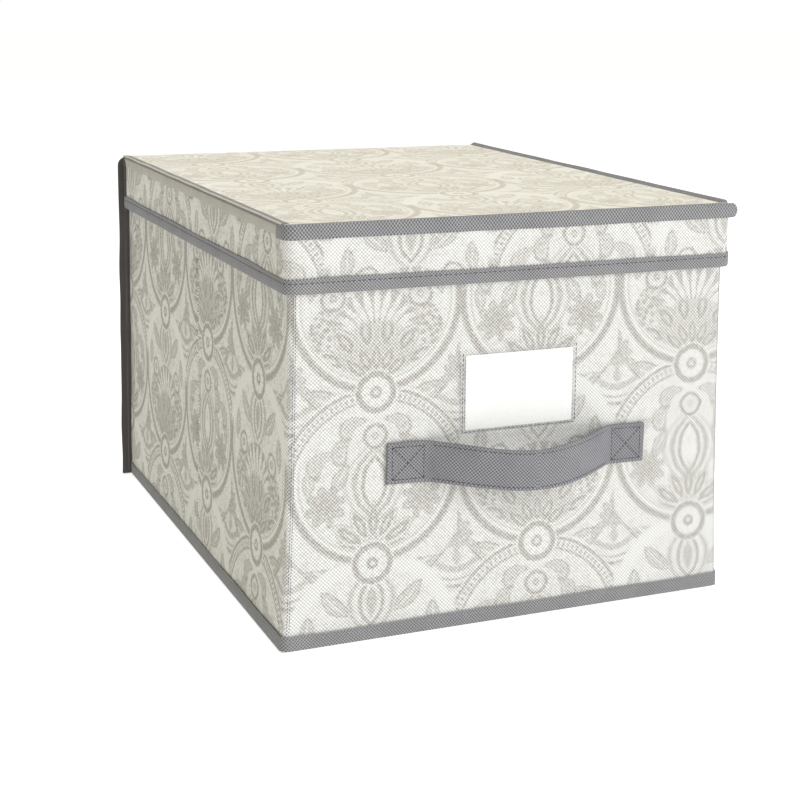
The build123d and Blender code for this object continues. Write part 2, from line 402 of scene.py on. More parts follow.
def tape_section(width: float, ply: float, crown: float = 0.0, steps: int = 10) -> Array:
    """Section of a flat tape with round edges: width along the second number, ply along the first.

    Args:
        width: width of the tape, mm.
        ply: its thickness, mm.
        crown: how far its face swells in the middle, mm.
        steps: points across each face.

    Returns:
        Closed section, k by 2.
    """
    half, thick = width / 2, ply / 2
    across = np.linspace(-half + thick, half - thick, steps)
    swell = crown * (1 - (across / max(half, 1e-6)) ** 2)
    turn = np.linspace(-math.pi / 2, math.pi / 2, 5)[1:-1]
    top = np.stack([-thick * np.sin(turn), half - thick + thick * np.cos(turn)], axis=1)
    low = np.stack([thick * np.sin(turn), -half + thick - thick * np.cos(turn)], axis=1)
    face = np.stack([thick + swell, across], axis=1)
    rear = np.stack([np.full(steps, -thick), across[::-1]], axis=1)
    return np.concatenate([face, top, rear, low])


def level_frames(route: Route, height: Union[float, Array]) -> Tuple[Array, Array, Array]:
    """Lift a level line to a height.

    Args:
        route: the line.
        height: one height or one for each point, mm.

    Returns:
        The path with its outward and upward directions.
    """
    rows = len(route.points)
    centre = np.concatenate(
        [route.points, np.broadcast_to(np.asarray(height, float), (rows,))[:, None]], axis=1
    )
    side = np.concatenate([route.outward, np.zeros((rows, 1))], axis=1)
    return centre, side, everywhere(UP, rows)


def stitches(name: str, centre: Array, along: Array, out: Array, stitch: Stitch) -> Piece:
    """Lay a row of thread stitches: each is a small spindle that dips into the cloth at both ends.

    Args:
        name: name of the row.
        centre: middle of each stitch, n by 3, mm.
        along: direction of each stitch, n by 3.
        out: direction away from the cloth, n by 3.
        stitch: its size.

    Returns:
        One object that holds all of them.
    """
    place = np.array([-1.0, -0.72, 0.0, 0.72, 1.0])
    girth = np.array([0.25, 0.85, 1.0, 0.85, 0.25]) * stitch.width / 2
    dip = -0.55 * stitch.width * place**4
    turn = np.linspace(0, 2 * math.pi, STITCH_SIDES, endpoint=False)
    along = along / np.linalg.norm(along, axis=1)[:, None]
    out = out / np.linalg.norm(out, axis=1)[:, None]
    wide = np.cross(along, out)
    spine = (
        centre[:, None] + along[:, None] * (place * stitch.length / 2)[None, :, None]
        + out[:, None] * dip[None, :, None]
    )
    ring = (
        wide[:, None, None] * np.cos(turn)[None, None, :, None]
        + out[:, None, None] * np.sin(turn)[None, None, :, None]
    )
    points = spine[:, :, None] + ring * girth[None, :, None, None]
    rings = len(place)
    one = grid_faces(rings, STITCH_SIDES, loop_columns=True)
    step = rings * STITCH_SIDES * np.arange(len(centre))[:, None, None]
    faces = (one[None] + step).reshape(-1, 4).tolist()
    first_end = np.arange(STITCH_SIDES)
    ends = np.array([first_end, rings * STITCH_SIDES - 1 - first_end])
    faces += (ends[None] + step).reshape(-1, STITCH_SIDES).tolist()
    return make_object(name, points, faces)


def level_stitches(name: str, route: Route, height: float, lift: float, stitch: Stitch) -> Piece:
    """Lay a stitch at each point of a level line, on the outer face of the cloth, or on its inner face.

    Args:
        name: name of the row.
        route: the line, with one point for each stitch.
        height: height of the row, mm.
        lift: distance outwards from the line, mm; under 0 the row is on the inner face.
        stitch: size of a stitch.

    Returns:
        The row.
    """
    centre, side, _ = level_frames(route, height)
    tangent = np.stack([-side[:, 1], side[:, 0], 0 * side[:, 0]], axis=1)
    return stitches(name, centre + side * lift, tangent, side if lift > 0 else -side, stitch)


def seam_line(knots: Array, pitch: float) -> Tuple[Array, Array]:
    """Space points along a line of knots.

    Args:
        knots: n by 3, mm.
        pitch: distance between neighbours, mm.

    Returns:
        The points and the line's direction at each of them.
    """
    knots = np.asarray(knots, float)
    run = running_length(knots)
    spots = np.arange(pitch / 2, run[-1], pitch)
    reach = 0.3

    def read(where: Array) -> Array:
        """Points of the line at running lengths."""
        return np.stack([np.interp(where, run, knots[:, i]) for i in range(3)], axis=1)

    return read(spots), read(spots + reach) - read(spots - reach)


# finishes


@dataclass(frozen=True)
class Field:
    """A number at every point of a shaded surface, written as arithmetic and kept as math nodes."""

    tree: bpy.types.NodeTree
    socket: bpy.types.NodeSocket

    def _math(
        self, operation: str, *others: Number, first: Optional[Number] = None, clamp: bool = False
    ) -> "Field":
        """Add one math node.

        Args:
            operation: Blender's name of the operation.
            others: the inputs after this field.
            first: an input that stands before this field.
            clamp: whether the result is kept from 0 to 1.

        Returns:
            The node's result.
        """
        node = self.tree.nodes.new("ShaderNodeMath")
        node.operation, node.use_clamp = operation, clamp
        inputs = ((first,) if first is not None else ()) + (self,) + others
        for plug, item in zip(node.inputs, inputs):
            if isinstance(item, Field):
                self.tree.links.new(item.socket, plug)
            else:
                plug.default_value = float(item)
        return Field(self.tree, node.outputs[0])

    def __add__(self, other: Number) -> "Field":
        """Sum."""
        return self._math("ADD", other)

    def __sub__(self, other: Number) -> "Field":
        """Difference."""
        return self._math("SUBTRACT", other)

    def __rsub__(self, other: Number) -> "Field":
        """Difference from a number."""
        return self._math("SUBTRACT", first=other)

    def __mul__(self, other: Number) -> "Field":
        """Product."""
        return self._math("MULTIPLY", other)

    def fold(self, half: float) -> "Field":
        """Distance to the nearest multiple of twice half."""
        return self._math("PINGPONG", half)

    def wrap(self, period: float) -> "Field":
        """Remainder from 0 up to the period."""
        return self._math("FLOORED_MODULO", period)

    def whole(self) -> "Field":
        """Round down."""
        return self._math("FLOOR")

    def size(self) -> "Field":
        """Drop the sign."""
        return self._math("ABSOLUTE")

    def wave(self, number: float) -> "Field":
        """Sine of the field times a number."""
        return self._math("MULTIPLY", number)._math("SINE")

    def most(self, other: Number) -> "Field":
        """The larger of two."""
        return self._math("MAXIMUM", other)

    def below(self, edge: float, blur: float = 0.6) -> "Field":
        """1 where the field is under the edge and 0 over it, with a soft step."""
        return self._math("MULTIPLY_ADD", -0.5 / blur, 0.5 + 0.5 * edge / blur, clamp=True)

    def above(self, edge: float, blur: float = 0.6) -> "Field":
        """1 where the field is over the edge and 0 under it, with a soft step."""
        return self._math("MULTIPLY_ADD", 0.5 / blur, 0.5 - 0.5 * edge / blur, clamp=True)

    def line(self, middle: float, width: float, blur: float = 0.6) -> "Field":
        """1 on a band of the width round the middle value."""
        return (self - middle).size().below(width / 2, blur)


@dataclass(frozen=True)
class Plane:
    """A pair of pattern coordinates in millimetres on a surface."""

    tree: bpy.types.NodeTree
    socket: bpy.types.NodeSocket

    @classmethod
    def of(cls, across: Field, up: Field) -> "Plane":
        """Join two fields.

        Args:
            across: first coordinate.
            up: second coordinate.

        Returns:
            The pair.
        """
        node = across.tree.nodes.new("ShaderNodeCombineXYZ")
        across.tree.links.new(across.socket, node.inputs[0])
        across.tree.links.new(up.socket, node.inputs[1])
        return cls(across.tree, node.outputs[0])

    def parts(self) -> Tuple[Field, Field]:
        """Split the pair.

        Returns:
            The two fields.
        """
        node = self.tree.nodes.new("ShaderNodeSeparateXYZ")
        self.tree.links.new(self.socket, node.inputs[0])
        return Field(self.tree, node.outputs[0]), Field(self.tree, node.outputs[1])

    def placed(self, x: float, y: float, turn: float = 0.0, wide: float = 1.0, tall: float = 1.0) -> "Plane":
        """Move into the frame of a motif.

        Args:
            x: place of the motif across, mm.
            y: its place upwards, mm.
            turn: its turn, degrees.
            wide: its half width.
            tall: its half height.

        Returns:
            Coordinates that are 1 at the motif's half sizes.
        """
        node = self.tree.nodes.new("ShaderNodeMapping")
        node.vector_type = "TEXTURE"
        node.inputs["Location"].default_value = (x, y, 0)
        node.inputs["Rotation"].default_value = (0, 0, math.radians(turn))
        node.inputs["Scale"].default_value = (wide, tall, 1)
        self.tree.links.new(self.socket, node.inputs["Vector"])
        return Plane(self.tree, node.outputs[0])

    def distance(self, x: float = 0.0, y: float = 0.0) -> Field:
        """Measure the distance from a point.

        Args:
            x: place of the point across, mm.
            y: its place upwards, mm.

        Returns:
            The distance.
        """
        node = self.tree.nodes.new("ShaderNodeVectorMath")
        node.operation = "DISTANCE"
        self.tree.links.new(self.socket, node.inputs[0])
        node.inputs[1].default_value = (x, y, 0)
        return Field(self.tree, node.outputs["Value"])

    def oval(self, x: float, y: float, turn: float, wide: float, tall: float) -> Field:
        """Size of an oval through the point, where 1 is the motif's own edge."""
        return self.placed(x, y, turn, wide, tall).distance()

    def leaf(self, x: float, y: float, turn: float, wide: float, tall: float) -> Field:
        """Size of a leaf through the point, pointed at both ends, where 1 is the motif's own edge."""
        across, up = self.placed(x, y, turn, wide, tall).parts()
        return across.size() + up * up

    def spun(self, x: float, y: float, count: float, spin: float = 0.0) -> "Plane":
        """Coordinates in a ring of petals.

        Args:
            x: place of the ring's middle across, mm.
            y: its place upwards, mm.
            count: number of petals.
            spin: turn of the ring, radians.

        Returns:
            Sideways distance from the nearest petal's middle line, and distance out.
        """
        across, up = self.placed(x, y).parts()
        angle = across._math("ARCTAN2", up)
        out = self.distance(x, y)
        half = math.pi / count
        return Plane.of((angle + spin).fold(half)._math("MULTIPLY", out), out)

    def noise(self, scale: float, detail: float = 2.0, offset: float = 0.0) -> Field:
        """Calm noise from 0 to 1.

        Args:
            scale: 1 over the size of its features, 1/mm.
            detail: how fine it gets.
            offset: which stretch of the noise, mm.

        Returns:
            The noise.
        """
        node = self.tree.nodes.new("ShaderNodeTexNoise")
        node.inputs["Scale"].default_value = scale
        node.inputs["Detail"].default_value = detail
        moved = self.placed(offset, -offset) if offset else self
        self.tree.links.new(moved.socket, node.inputs["Vector"])
        return Field(self.tree, node.outputs["Fac"])


def start_group(name: str, outputs: Sequence[str]) -> Tuple[bpy.types.NodeTree, Plane, bpy.types.Node]:
    """Begin a shader group that takes pattern coordinates and gives masks.

    Args:
        name: name of the group.
        outputs: names of the masks.

    Returns:
        The group, its coordinates and its output node.
    """
    tree = bpy.data.node_groups.new(name, "ShaderNodeTree")
    tree.interface.new_socket("Place", in_out="INPUT", socket_type="NodeSocketVector")
    for label in outputs:
        tree.interface.new_socket(label, in_out="OUTPUT", socket_type="NodeSocketFloat")
    inlet, outlet = tree.nodes.new("NodeGroupInput"), tree.nodes.new("NodeGroupOutput")
    return tree, Plane(tree, inlet.outputs[0]), outlet


@dataclass(frozen=True)
class ScrollPrint:
    """The two-tone print.

    Rosettes stand in half-dropped columns, joined by round bands, with fans, leaves and teardrops between.
    """

    column: float = 110.5
    drop: float = 106.0
    first_column: float = 54.5
    first_rosette: float = 153.5
    name: str = "scroll_print"

    def _rosette(self, spot: Plane, ring: float) -> Field:
        """A flower: a thick ring, scalloped petals of the ground in it and a ringed heart.

        Args:
            spot: coordinates round its middle.
            ring: radius of the ring, mm.

        Returns:
            Its mask.
        """
        size = spot.distance()
        petals = spot.spun(0, 0, 9.0).leaf(0, 0.58 * ring, 0, 0.2 * ring, 0.34 * ring)
        heart = size.line(0.24 * ring, 0.2 * ring, 0.5).most(size.line(0.0, 0.1 * ring, 0.4) * 0.6)
        return size.line(ring, 0.34 * ring, 0.6).most(heart).most(
            petals.line(1.0, 0.35, 0.2) * size.below(0.9 * ring) * 0.45
        )

    def _beads(self, disk: Field, angle: Field, radius: float) -> Field:
        """A row of beads between two lines along an arc."""
        bead = (angle * radius).wrap(3.5).line(1.75, 1.9, 0.5) * disk.line(radius, 3.2, 0.5)
        return disk.line(radius + 3.6, 2.2).most(disk.line(radius - 3.2, 1.6)).most(bead * 0.9)

    def _flame(self, spot: Plane, y: float) -> Field:
        """A teardrop of the ground with outlines of the print round it."""
        size = spot.leaf(0, y, 0, 6.2, 15.0)
        return (
            size.line(1.25, 0.42, 0.12).most(size.line(2.1, 0.6, 0.16) * 0.85)
            .most(size.line(3.05, 0.5, 0.2) * 0.6)
        )

    def _frond(
        self, spot: Plane, x: float, y: float, turn: float, wide: float, tall: float, speck: Field
    ) -> Field:
        """A leaf with an outline, a vein of the ground and a speckled inside.

        Args:
            spot: coordinates it stands in.
            x: its place across, mm.
            y: its place upwards, mm.
            turn: its turn, degrees.
            wide: its half width, mm.
            tall: its half height, mm.
            speck: mask of the specks.

        Returns:
            Its mask.
        """
        size = spot.leaf(x, y, turn, wide, tall)
        vein = spot.leaf(x, y, turn, 0.16 * wide, 0.8 * tall).below(1.0, 0.2)
        inside = size.below(0.72, 0.12) * (speck * 0.35 + 0.5) * (1.0 - vein * 0.8)
        return size.line(0.95, 0.3, 0.12).most(inside)

    def _drop(self, spot: Plane, x: float, y: float, turn: float, wide: float, tall: float) -> Field:
        """Size of a curled drop, fat at its foot and bent at its tip, where 1 is its edge."""
        across, up = spot.placed(x, y, turn, wide, tall).parts()
        return Plane.of((across + up * up * 0.7 - 0.25) * (up * 0.75 + 1.25), up).distance()

    def _spray(
        self, spot: Plane, y: float, count: float, near: float, far: float, wide: float, spin: float = 0.0
    ) -> Field:
        """A ring of leaves: each filled, with an outline of the ground and a thin line round that.

        Args:
            spot: coordinates it stands in.
            y: place of its middle upwards, mm.
            count: number of leaves.
            near: where they start, mm from the middle.
            far: where they end, mm from the middle.
            wide: half width of a leaf, mm.
            spin: turn of the ring, radians.

        Returns:
            Its mask.
        """
        middle, half = (near + far) / 2, (far - near) / 2
        size = spot.spun(0, y, count, spin).leaf(0, middle, 0, wide, half)
        return (
            size.below(0.78, 0.1) * (1.0 - size.below(0.22, 0.1) * 0.7)
        ).most(size.line(1.16, 0.26, 0.1) * 0.8)

    def _column_below(self, cell: Plane, tu: Field, ring: Field, speck: Field) -> Field:
        """What fills a round band: a small flower, curled drops, a teardrop, lobed flowers, a spray.

        Args:
            cell: coordinates in a column, upwards from the rosette.
            tu: height over the rosette.
            ring: distance from the band's middle.
            speck: mask of the specks.

        Returns:
            Its mask.
        """
        bud = cell.placed(0, 79.0)
        art = self._rosette(bud, 7.0)
        for x, y, turn, wide, tall in (
            (15.0, 86.5, 58, 5.4, 9.4), (21.5, 72.5, 22, 5.6, 9.8), (35.5, 66.0, 40, 5.8, 10.4)
        ):
            size = self._drop(cell, x, y, turn, wide, tall)
            art = art.most(size.line(0.9, 0.28, 0.1) * 0.9).most(size.below(0.7, 0.16) * (speck * 0.4 + 0.4))
        art = art.most(self._flame(cell, 50.0) * bud.distance().above(8.8, 0.5) * tu.above(24, 3))
        lobed = cell.placed(32.0, 41.0, -16)
        petal = lobed.spun(0, -3.0, 8.0).oval(0, 8.0, 0, 3.4, 5.4)
        blob = petal.below(1.0, 0.14) * (1.0 - petal.line(0.55, 0.2, 0.1) * 0.5)
        art = art.most(blob.most(lobed.distance(0, -3.0).below(6.0, 0.8)) * (speck * 0.2 + 0.8))
        art = art.most(
            self._spray(cell, 8.0, 13.0, 7.0, 30.0, 4.4) * tu.above(9, 1.0) * ring.below(47.5, 0.6)
        )
        art = art.most(self._frond(cell, 22.0, 54.0, 28, 4.6, 10.0, speck))
        return art.most(self._frond(cell, 42.5, 53.0, -4, 3.4, 8.5, speck) * ring.below(47.5, 0.6))

    def _column_above(self, cell: Plane, tu: Field, ring: Field, speck: Field) -> Field:
        """What stands between two rosettes: a thicket, a fan of slender petals, flowers and berries.

        Args:
            cell: coordinates in a column, upwards from the rosette.
            tu: height over the rosette.
            ring: distance from the band's middle.
            speck: mask of the specks.

        Returns:
            Its mask.
        """
        floor = cell.oval(0, 26.0, 0, 27.0, 17.0).below(1.0, 0.05) * tu.above(10, 1.5)
        art = floor * (speck * 0.3 + 0.32)
        art = art.most(self._spray(cell, 4.0, 15.0, 8.0, 27.0, 4.2)).most(
            self._spray(cell, 4.0, 15.0, 24.0, 44.0, 5.2, 0.21) * tu.below(43, 2.0)
        )
        art = art * tu.above(10, 0.8) * ring.below(46.5, 0.6)
        fan = cell.spun(0, 32.0, 24.0)
        out = fan.parts()[1]
        petal = fan.leaf(0, 22.0, 0, 2.1, 13.0)
        sector = out.line(21.0, 24.0, 1.0) * cell.placed(0, 32.0).parts()[1].above(9.0, 1.0)
        art = art.most((1.0 - petal.below(0.95, 0.14)) * sector * 0.85)
        crown = cell.leaf(0, 82.0, 0, 8.0, 15.0)
        tower = (
            crown.line(0.95, 0.36, 0.1).most(crown.below(0.45, 0.1) * 0.75)
            .most(crown.line(1.8, 0.4, 0.14) * 0.75)
        )
        art = art.most(tower * tu.above(64, 2))
        star = cell.placed(28.0, 58.0)
        art = (art * star.distance().above(8.6, 0.5)).most(self._rosette(star, 6.6))
        grapes = cell.placed(0, 0, 20, 4.3, 4.3)
        cells = cell.tree.nodes.new("ShaderNodeTexVoronoi")
        cells.inputs["Scale"].default_value, cells.inputs["Randomness"].default_value = 1.0, 0.55
        cell.tree.links.new(grapes.socket, cells.inputs["Vector"])
        berry = Field(cell.tree, cells.outputs["Distance"]).below(0.47, 0.07)
        bunch = cell.oval(34.0, 39.5, 26, 9.5, 14.5).below(1.0, 0.05)
        art = art.most((berry * 0.65 + 0.3) * bunch * ring.below(47.5, 0.6))
        return art.most(self._frond(cell, 24.0, 83.0, -46, 5.0, 12.0, speck)).most(
            self._frond(cell, 41.0, 68.0, 10, 4.0, 10.0, speck) * star.distance().above(8.6, 0.5)
        )

    def _between(self, mid: Plane, m: Field, speck: Field) -> Field:
        """What fills the gap between columns: a broad flower, cupped stripes and a leaf on each side.

        Args:
            mid: coordinates round the gap's middle.
            m: height over that middle.
            speck: mask of the specks.

        Returns:
            Its mask.
        """
        petal = mid.spun(0, 11.0, 8.0).oval(0, 6.2, 0, 2.9, 4.6)
        art = petal.below(1.0, 0.16) * (1.0 - petal.line(0.5, 0.2, 0.1) * 0.5)
        art = (
            art.most(mid.distance(0, 11.0).below(4.6, 0.8)).most(
                mid.leaf(0, 20.0, 0, 3.4, 7.5).below(0.95, 0.14)
            )
            * (speck * 0.25 + 0.68)
        )
        cup = mid.distance(0, 7.0)
        cupped = (
            cup.line(29.0, 2.2).most(cup.line(24.6, 1.4) * 0.8)
            .most(cup.line(18.0, 4.4) * (speck * 0.35 + 0.5))
        )
        art = art.most(cupped * m.below(-4.0, 2.5))
        art = art.most(mid.leaf(0, -3.5, 0, 3.0, 5.0).below(0.95, 0.14) * 0.7)
        return (
            art.most(self._frond(mid, 22.5, -3.5, 66, 6.4, 15.0, speck))
            .most(self._frond(mid, 11.5, 2.0, 40, 3.0, 8.0, speck))
        )

    def build(self) -> bpy.types.NodeTree:
        """Make the shader group.

        Returns:
            The group; its output Print is 1 on the darker tone.
        """
        tree, place, outlet = start_group(self.name, ["Print"])
        across, up = place.parts()
        across = across + (place.noise(0.75, 1.0, 3.0) - 0.5) * 3.6
        up = up + (place.noise(0.75, 1.0, 53.0) - 0.5) * 3.6
        half = self.column / 2
        shifted = across - self.first_column
        x = shifted.fold(half)
        odd = (shifted * (1 / self.column) + 0.5).whole().wrap(2.0)
        t = (up + (self.drop - self.first_rosette) + odd * self.drop).wrap(2 * self.drop) - self.drop
        calm = (x * (1 / half)) * (1.0 - x * (1 / half)) * 4.0
        plain = Plane.of(x, t)
        x = x + (plain.noise(0.07, 1.0) - 0.5) * calm * 5.0
        tu = t.wrap(self.drop)
        tv = tu + (plain.noise(0.06, 1.0, 31.0) - 0.5) * calm * 5.0
        rise = t.above(0.0, 0.3)
        fall = 1.0 - rise
        cell, still = Plane.of(x, tv), Plane.of(shifted.fold(half), tu)
        speck = plain.noise(0.7, 1.0, 17.0).above(0.5, 0.08)
        near = Plane.of(shifted.fold(half), (t + self.drop / 2).wrap(self.drop) - self.drop / 2)
        rose = Plane.of(shifted.fold(half), t.fold(self.drop / 2)).distance()

        ring = still.distance(0, 55.5)
        art = ring.line(54.0, 4.5, 1.0).most(ring.line(48.6, 1.5) * 0.55) * tu.below(66, 4)

        arch_spot = Plane.of(shifted.fold(half), t + 59.5)
        disk = arch_spot.distance()
        side, rising = arch_spot.parts()
        art = art.most(self._beads(disk, side._math("ARCTAN2", rising), 58.0) * t.above(-45, 1.0) * fall)

        art = art.most(self._column_below(cell, tu, ring, speck) * fall * disk.below(53.0, 0.6))
        art = art.most(self._column_above(cell, tu, ring, speck) * rise)

        m = (t + self.drop / 2).wrap(self.drop) - self.drop / 2
        bits = self._between(Plane.of(half - x, m), m, speck)
        art = art.most(bits * ring.above(57.0, 0.8) * disk.above(63.5, 0.8).most(rise))

        curls = (plain.noise(0.16, 2.0, 23.0) - 0.5).size().below(0.03, 0.022).most(
            (plain.noise(0.21, 1.0, 61.0) - 0.5).size().below(0.022, 0.018)
        )
        art = art.most(curls * (1.0 - ring.line(52.0, 9.0, 1.0)) * 0.34)
        art = (art * rose.above(14.0, 0.5)).most(self._rosette(near, 11.2))
        art = art * (plain.noise(0.5, 2.0, 71.0).above(0.45, 0.14) * 0.5 + 0.5)
        tree.links.new(art.socket, outlet.inputs[0])
        return tree


@dataclass(frozen=True)
class Weave:
    """A fine weave of crossing threads, laid at an angle."""

    pitch: float = 2.28
    turn: float = 0.0
    name: str = "weave"

    def build(self) -> bpy.types.NodeTree:
        """Make the shader group.

        Returns:
            The group; Gaps is 1 in the holes of the weave, Threads is its height, Tone a slow change of tone.
        """
        tree, place, outlet = start_group(self.name, ["Gaps", "Threads", "Tone"])
        first, second = place.placed(0, 0, self.turn).parts()
        number = 2 * math.pi / self.pitch
        one, two = first.wave(number), second.wave(number)
        weft = one * two
        uneven = place.noise(0.9, 2.0)
        gaps = (weft * 0.5 + 0.5) * (uneven * 0.6 + 0.7)
        tree.links.new(gaps.above(0.52, 0.12).socket, outlet.inputs[0])
        tree.links.new((weft * -0.5 + 0.5).socket, outlet.inputs[1])
        tree.links.new(place.noise(0.05, 3.0, 7.0).socket, outlet.inputs[2])
        return tree


@dataclass
class Workshop:
    """Holds the shader groups, so each is made once."""

    groups: dict = field(default_factory=dict)

    def group(self, maker: Union[ScrollPrint, Weave]) -> bpy.types.NodeTree:
        """Give the group of a maker, and build it the first time.

        Args:
            maker: what builds the group.

        Returns:
            The group.
        """
        if maker.name not in self.groups:
            self.groups[maker.name] = maker.build()
        return self.groups[maker.name]


class MaterialSheet:
    """One material in the making, with its Principled shader at hand."""

    def __init__(self, name: str, colour: ShaderColour, roughness: float) -> None:
        """Start a material.

        Args:
            name: name of the material.
            colour: base colour, linear.
            roughness: roughness of the shader.
        """
        self.material = bpy.data.materials.new(name)
        self.material.use_nodes = True
        self.tree = self.material.node_tree
        self.shader = self.tree.nodes["Principled BSDF"]
        self.set("Base Color", colour)
        self.set("Roughness", roughness)
        self.set("Specular IOR Level", 0.25)
        self.material.diffuse_color = colour

    def set(self, plug: str, value: object) -> None:
        """Set a socket of the shader."""
        self.shader.inputs[plug].default_value = value

    def place(self, mapped: bool, offset: Point = (0, 0, 0)) -> Plane:
        """Give pattern coordinates in millimetres.

        Args:
            mapped: from the piece's cloth map, or else from its own coordinates.
            offset: what is added, mm.

        Returns:
            The coordinates.
        """
        if mapped:
            source = self.tree.nodes.new("ShaderNodeUVMap")
            source.uv_map = CLOTH_MAP
            socket = source.outputs["UV"]
        else:
            socket = self.tree.nodes.new("ShaderNodeTexCoord").outputs["Object"]
        node = self.tree.nodes.new("ShaderNodeMapping")
        node.inputs["Scale"].default_value = (1 / MM,) * 3
        node.inputs["Location"].default_value = offset
        self.tree.links.new(socket, node.inputs["Vector"])
        return Plane(self.tree, node.outputs[0])

    def use(self, group: bpy.types.NodeTree, place: Plane) -> list:
        """Place a shader group.

        Args:
            group: the group.
            place: the coordinates it reads.

        Returns:
            Its outputs as fields.
        """
        node = self.tree.nodes.new("ShaderNodeGroup")
        node.node_tree = group
        self.tree.links.new(place.socket, node.inputs[0])
        return [Field(self.tree, plug) for plug in node.outputs]

    def mix(self, share: Field, first: object, second: object, blend: str = "MIX") -> bpy.types.NodeSocket:
        """Mix two colours by a mask.

        Args:
            share: the mask, 1 for the second colour.
            first: a colour or a socket.
            second: a colour or a socket.
            blend: Blender's name of the blend.

        Returns:
            The mixed colour.
        """
        node = self.tree.nodes.new("ShaderNodeMix")
        node.data_type, node.blend_type = "RGBA", blend
        self.tree.links.new(share.socket, node.inputs[0])
        for plug, item in ((node.inputs[6], first), (node.inputs[7], second)):
            if isinstance(item, bpy.types.NodeSocket):
                self.tree.links.new(item, plug)
            else:
                plug.default_value = item
        return node.outputs[2]

    def feed(self, plug: str, value: Union[Field, bpy.types.NodeSocket]) -> None:
        """Link a field or colour into the shader."""
        self.tree.links.new(value.socket if isinstance(value, Field) else value, self.shader.inputs[plug])

    def bump(self, height: Field, strength: float, depth: float) -> None:
        """Raise the surface by a field.

        Args:
            height: from 0 to 1.
            strength: strength of the bump.
            depth: depth of the relief, mm.
        """
        node = self.tree.nodes.new("ShaderNodeBump")
        node.inputs["Strength"].default_value = strength
        node.inputs["Distance"].default_value = depth * MM
        self.tree.links.new(height.socket, node.inputs["Height"])
        self.tree.links.new(node.outputs[0], self.shader.inputs["Normal"])


@dataclass(frozen=True)
class PrintedCloth:
    """Stiff cloth with the scroll print over a fine weave, with painted shade on its side walls."""

    name: str
    ground: ShaderColour
    figure: ShaderColour
    shade: float = 0.55
    offset: Point = (0, 0, 0)
    coverage: float = 0.76
    side_shade_depth: float = 0.4

    def make(self, workshop: Workshop) -> bpy.types.Material:
        """Make the material.

        Args:
            workshop: holder of the shader groups.

        Returns:
            The material.
        """
        sheet = MaterialSheet(self.name, self.ground, 0.85)
        place = sheet.place(True, self.offset)
        printed = sheet.use(workshop.group(ScrollPrint()), place)[0]
        cloth = sheet.place(True)
        gaps, threads, tone = sheet.use(workshop.group(Weave()), cloth)
        run = cloth.parts()[0]
        # On the left and right walls the print gets more ink and the colour a warm darkening: painted shade
        # of the side walls.
        side_wall_shade = run.below(-4.0, 3.0).most(run.above(2 * HALF_FRONT + 4.0, 3.0)) * self.side_shade_depth
        ink = printed * (gaps * 0.3 + self.coverage + side_wall_shade)
        two_tone = sheet.mix(ink, self.ground, self.figure)
        dark = gaps * (printed * 0.2 + 0.8)
        woven = sheet.mix(dark, two_tone, (self.shade, self.shade, self.shade, 1), "MULTIPLY")
        # Painted shade: the side walls are multiplied by a warm grey.
        woven = sheet.mix(side_wall_shade, woven, (0.97, 0.955, 0.87, 1), "MULTIPLY")
        aged = sheet.mix(tone.above(0.45, 0.2) * 0.5, woven, (0.965, 0.96, 0.95, 1), "MULTIPLY")
        sheet.feed("Base Color", aged)
        sheet.feed("Roughness", threads * 0.12 + 0.8)
        sheet.bump(threads, 0.35, 0.12)
        return sheet.material


@dataclass(frozen=True)
class PlainCloth:
    """One-colour woven or pressed cloth, for linings, bindings and the strap."""

    name: str
    colour: ShaderColour
    dark: ShaderColour
    weave: Weave = Weave()
    roughness: float = 0.82
    relief: float = 0.15
    mapped: bool = True

    def make(self, workshop: Workshop) -> bpy.types.Material:
        """Make the material.

        Args:
            workshop: holder of the shader groups.

        Returns:
            The material.
        """
        sheet = MaterialSheet(self.name, self.colour, self.roughness)
        gaps, threads, tone = sheet.use(workshop.group(self.weave), sheet.place(self.mapped))
        woven = sheet.mix(gaps, self.colour, self.dark)
        aged = sheet.mix(tone.above(0.45, 0.2) * 0.8, woven, (0.82, 0.82, 0.84, 1), "MULTIPLY")
        sheet.feed("Base Color", aged)
        sheet.feed("Roughness", threads * -0.1 + self.roughness)
        sheet.bump(threads, 0.5, self.relief)
        return sheet.material


@dataclass(frozen=True)
class Thread:
    """Twisted sewing thread."""

    name: str
    colour: ShaderColour

    def make(self) -> bpy.types.Material:
        """Make the material.

        Returns:
            The material.
        """
        sheet = MaterialSheet(self.name, self.colour, 0.6)
        place = sheet.place(False)
        tone = place.noise(0.8, 1.0)
        sheet.feed("Base Color", sheet.mix(tone, self.colour, tuple(0.6 * c for c in self.colour[:3]) + (1,)))
        sheet.bump(place.noise(6.0, 1.0, 3.0), 0.4, 0.1)
        return sheet.material


@dataclass(frozen=True)
class Paper:
    """Card or board: a faint fibre in a flat colour."""

    name: str
    colour: ShaderColour
    fibre: float = 0.97
    grain: float = 1.2

    def make(self) -> bpy.types.Material:
        """Make the material.

        Returns:
            The material.
        """
        sheet = MaterialSheet(self.name, self.colour, 0.7)
        place = sheet.place(False)
        flecks = place.noise(self.grain, 3.0)
        shade = (self.fibre, self.fibre, self.fibre, 1)
        sheet.feed(
            "Base Color", sheet.mix(flecks, self.colour, sheet.mix(flecks, self.colour, shade, "MULTIPLY"))
        )
        sheet.feed("Roughness", flecks * 0.2 + 0.55)
        sheet.bump(flecks, 0.15, 0.1)
        return sheet.material


@dataclass(frozen=True)
class ClearFilm:
    """Thin clear plastic of the label pocket."""

    name: str
    alpha: float = 0.1

    def make(self) -> bpy.types.Material:
        """Make the material.

        Returns:
            The material.
        """
        sheet = MaterialSheet(self.name, linear(248, 249, 250), 0.16)
        sheet.set("Alpha", self.alpha)
        sheet.set("Specular IOR Level", 0.5)
        place = sheet.place(False)
        sheet.feed("Roughness", place.noise(0.05, 2.0) * 0.15 + 0.1)
        sheet.bump(place.noise(0.08, 2.0, 11.0), 0.2, 0.2)
        return sheet.material


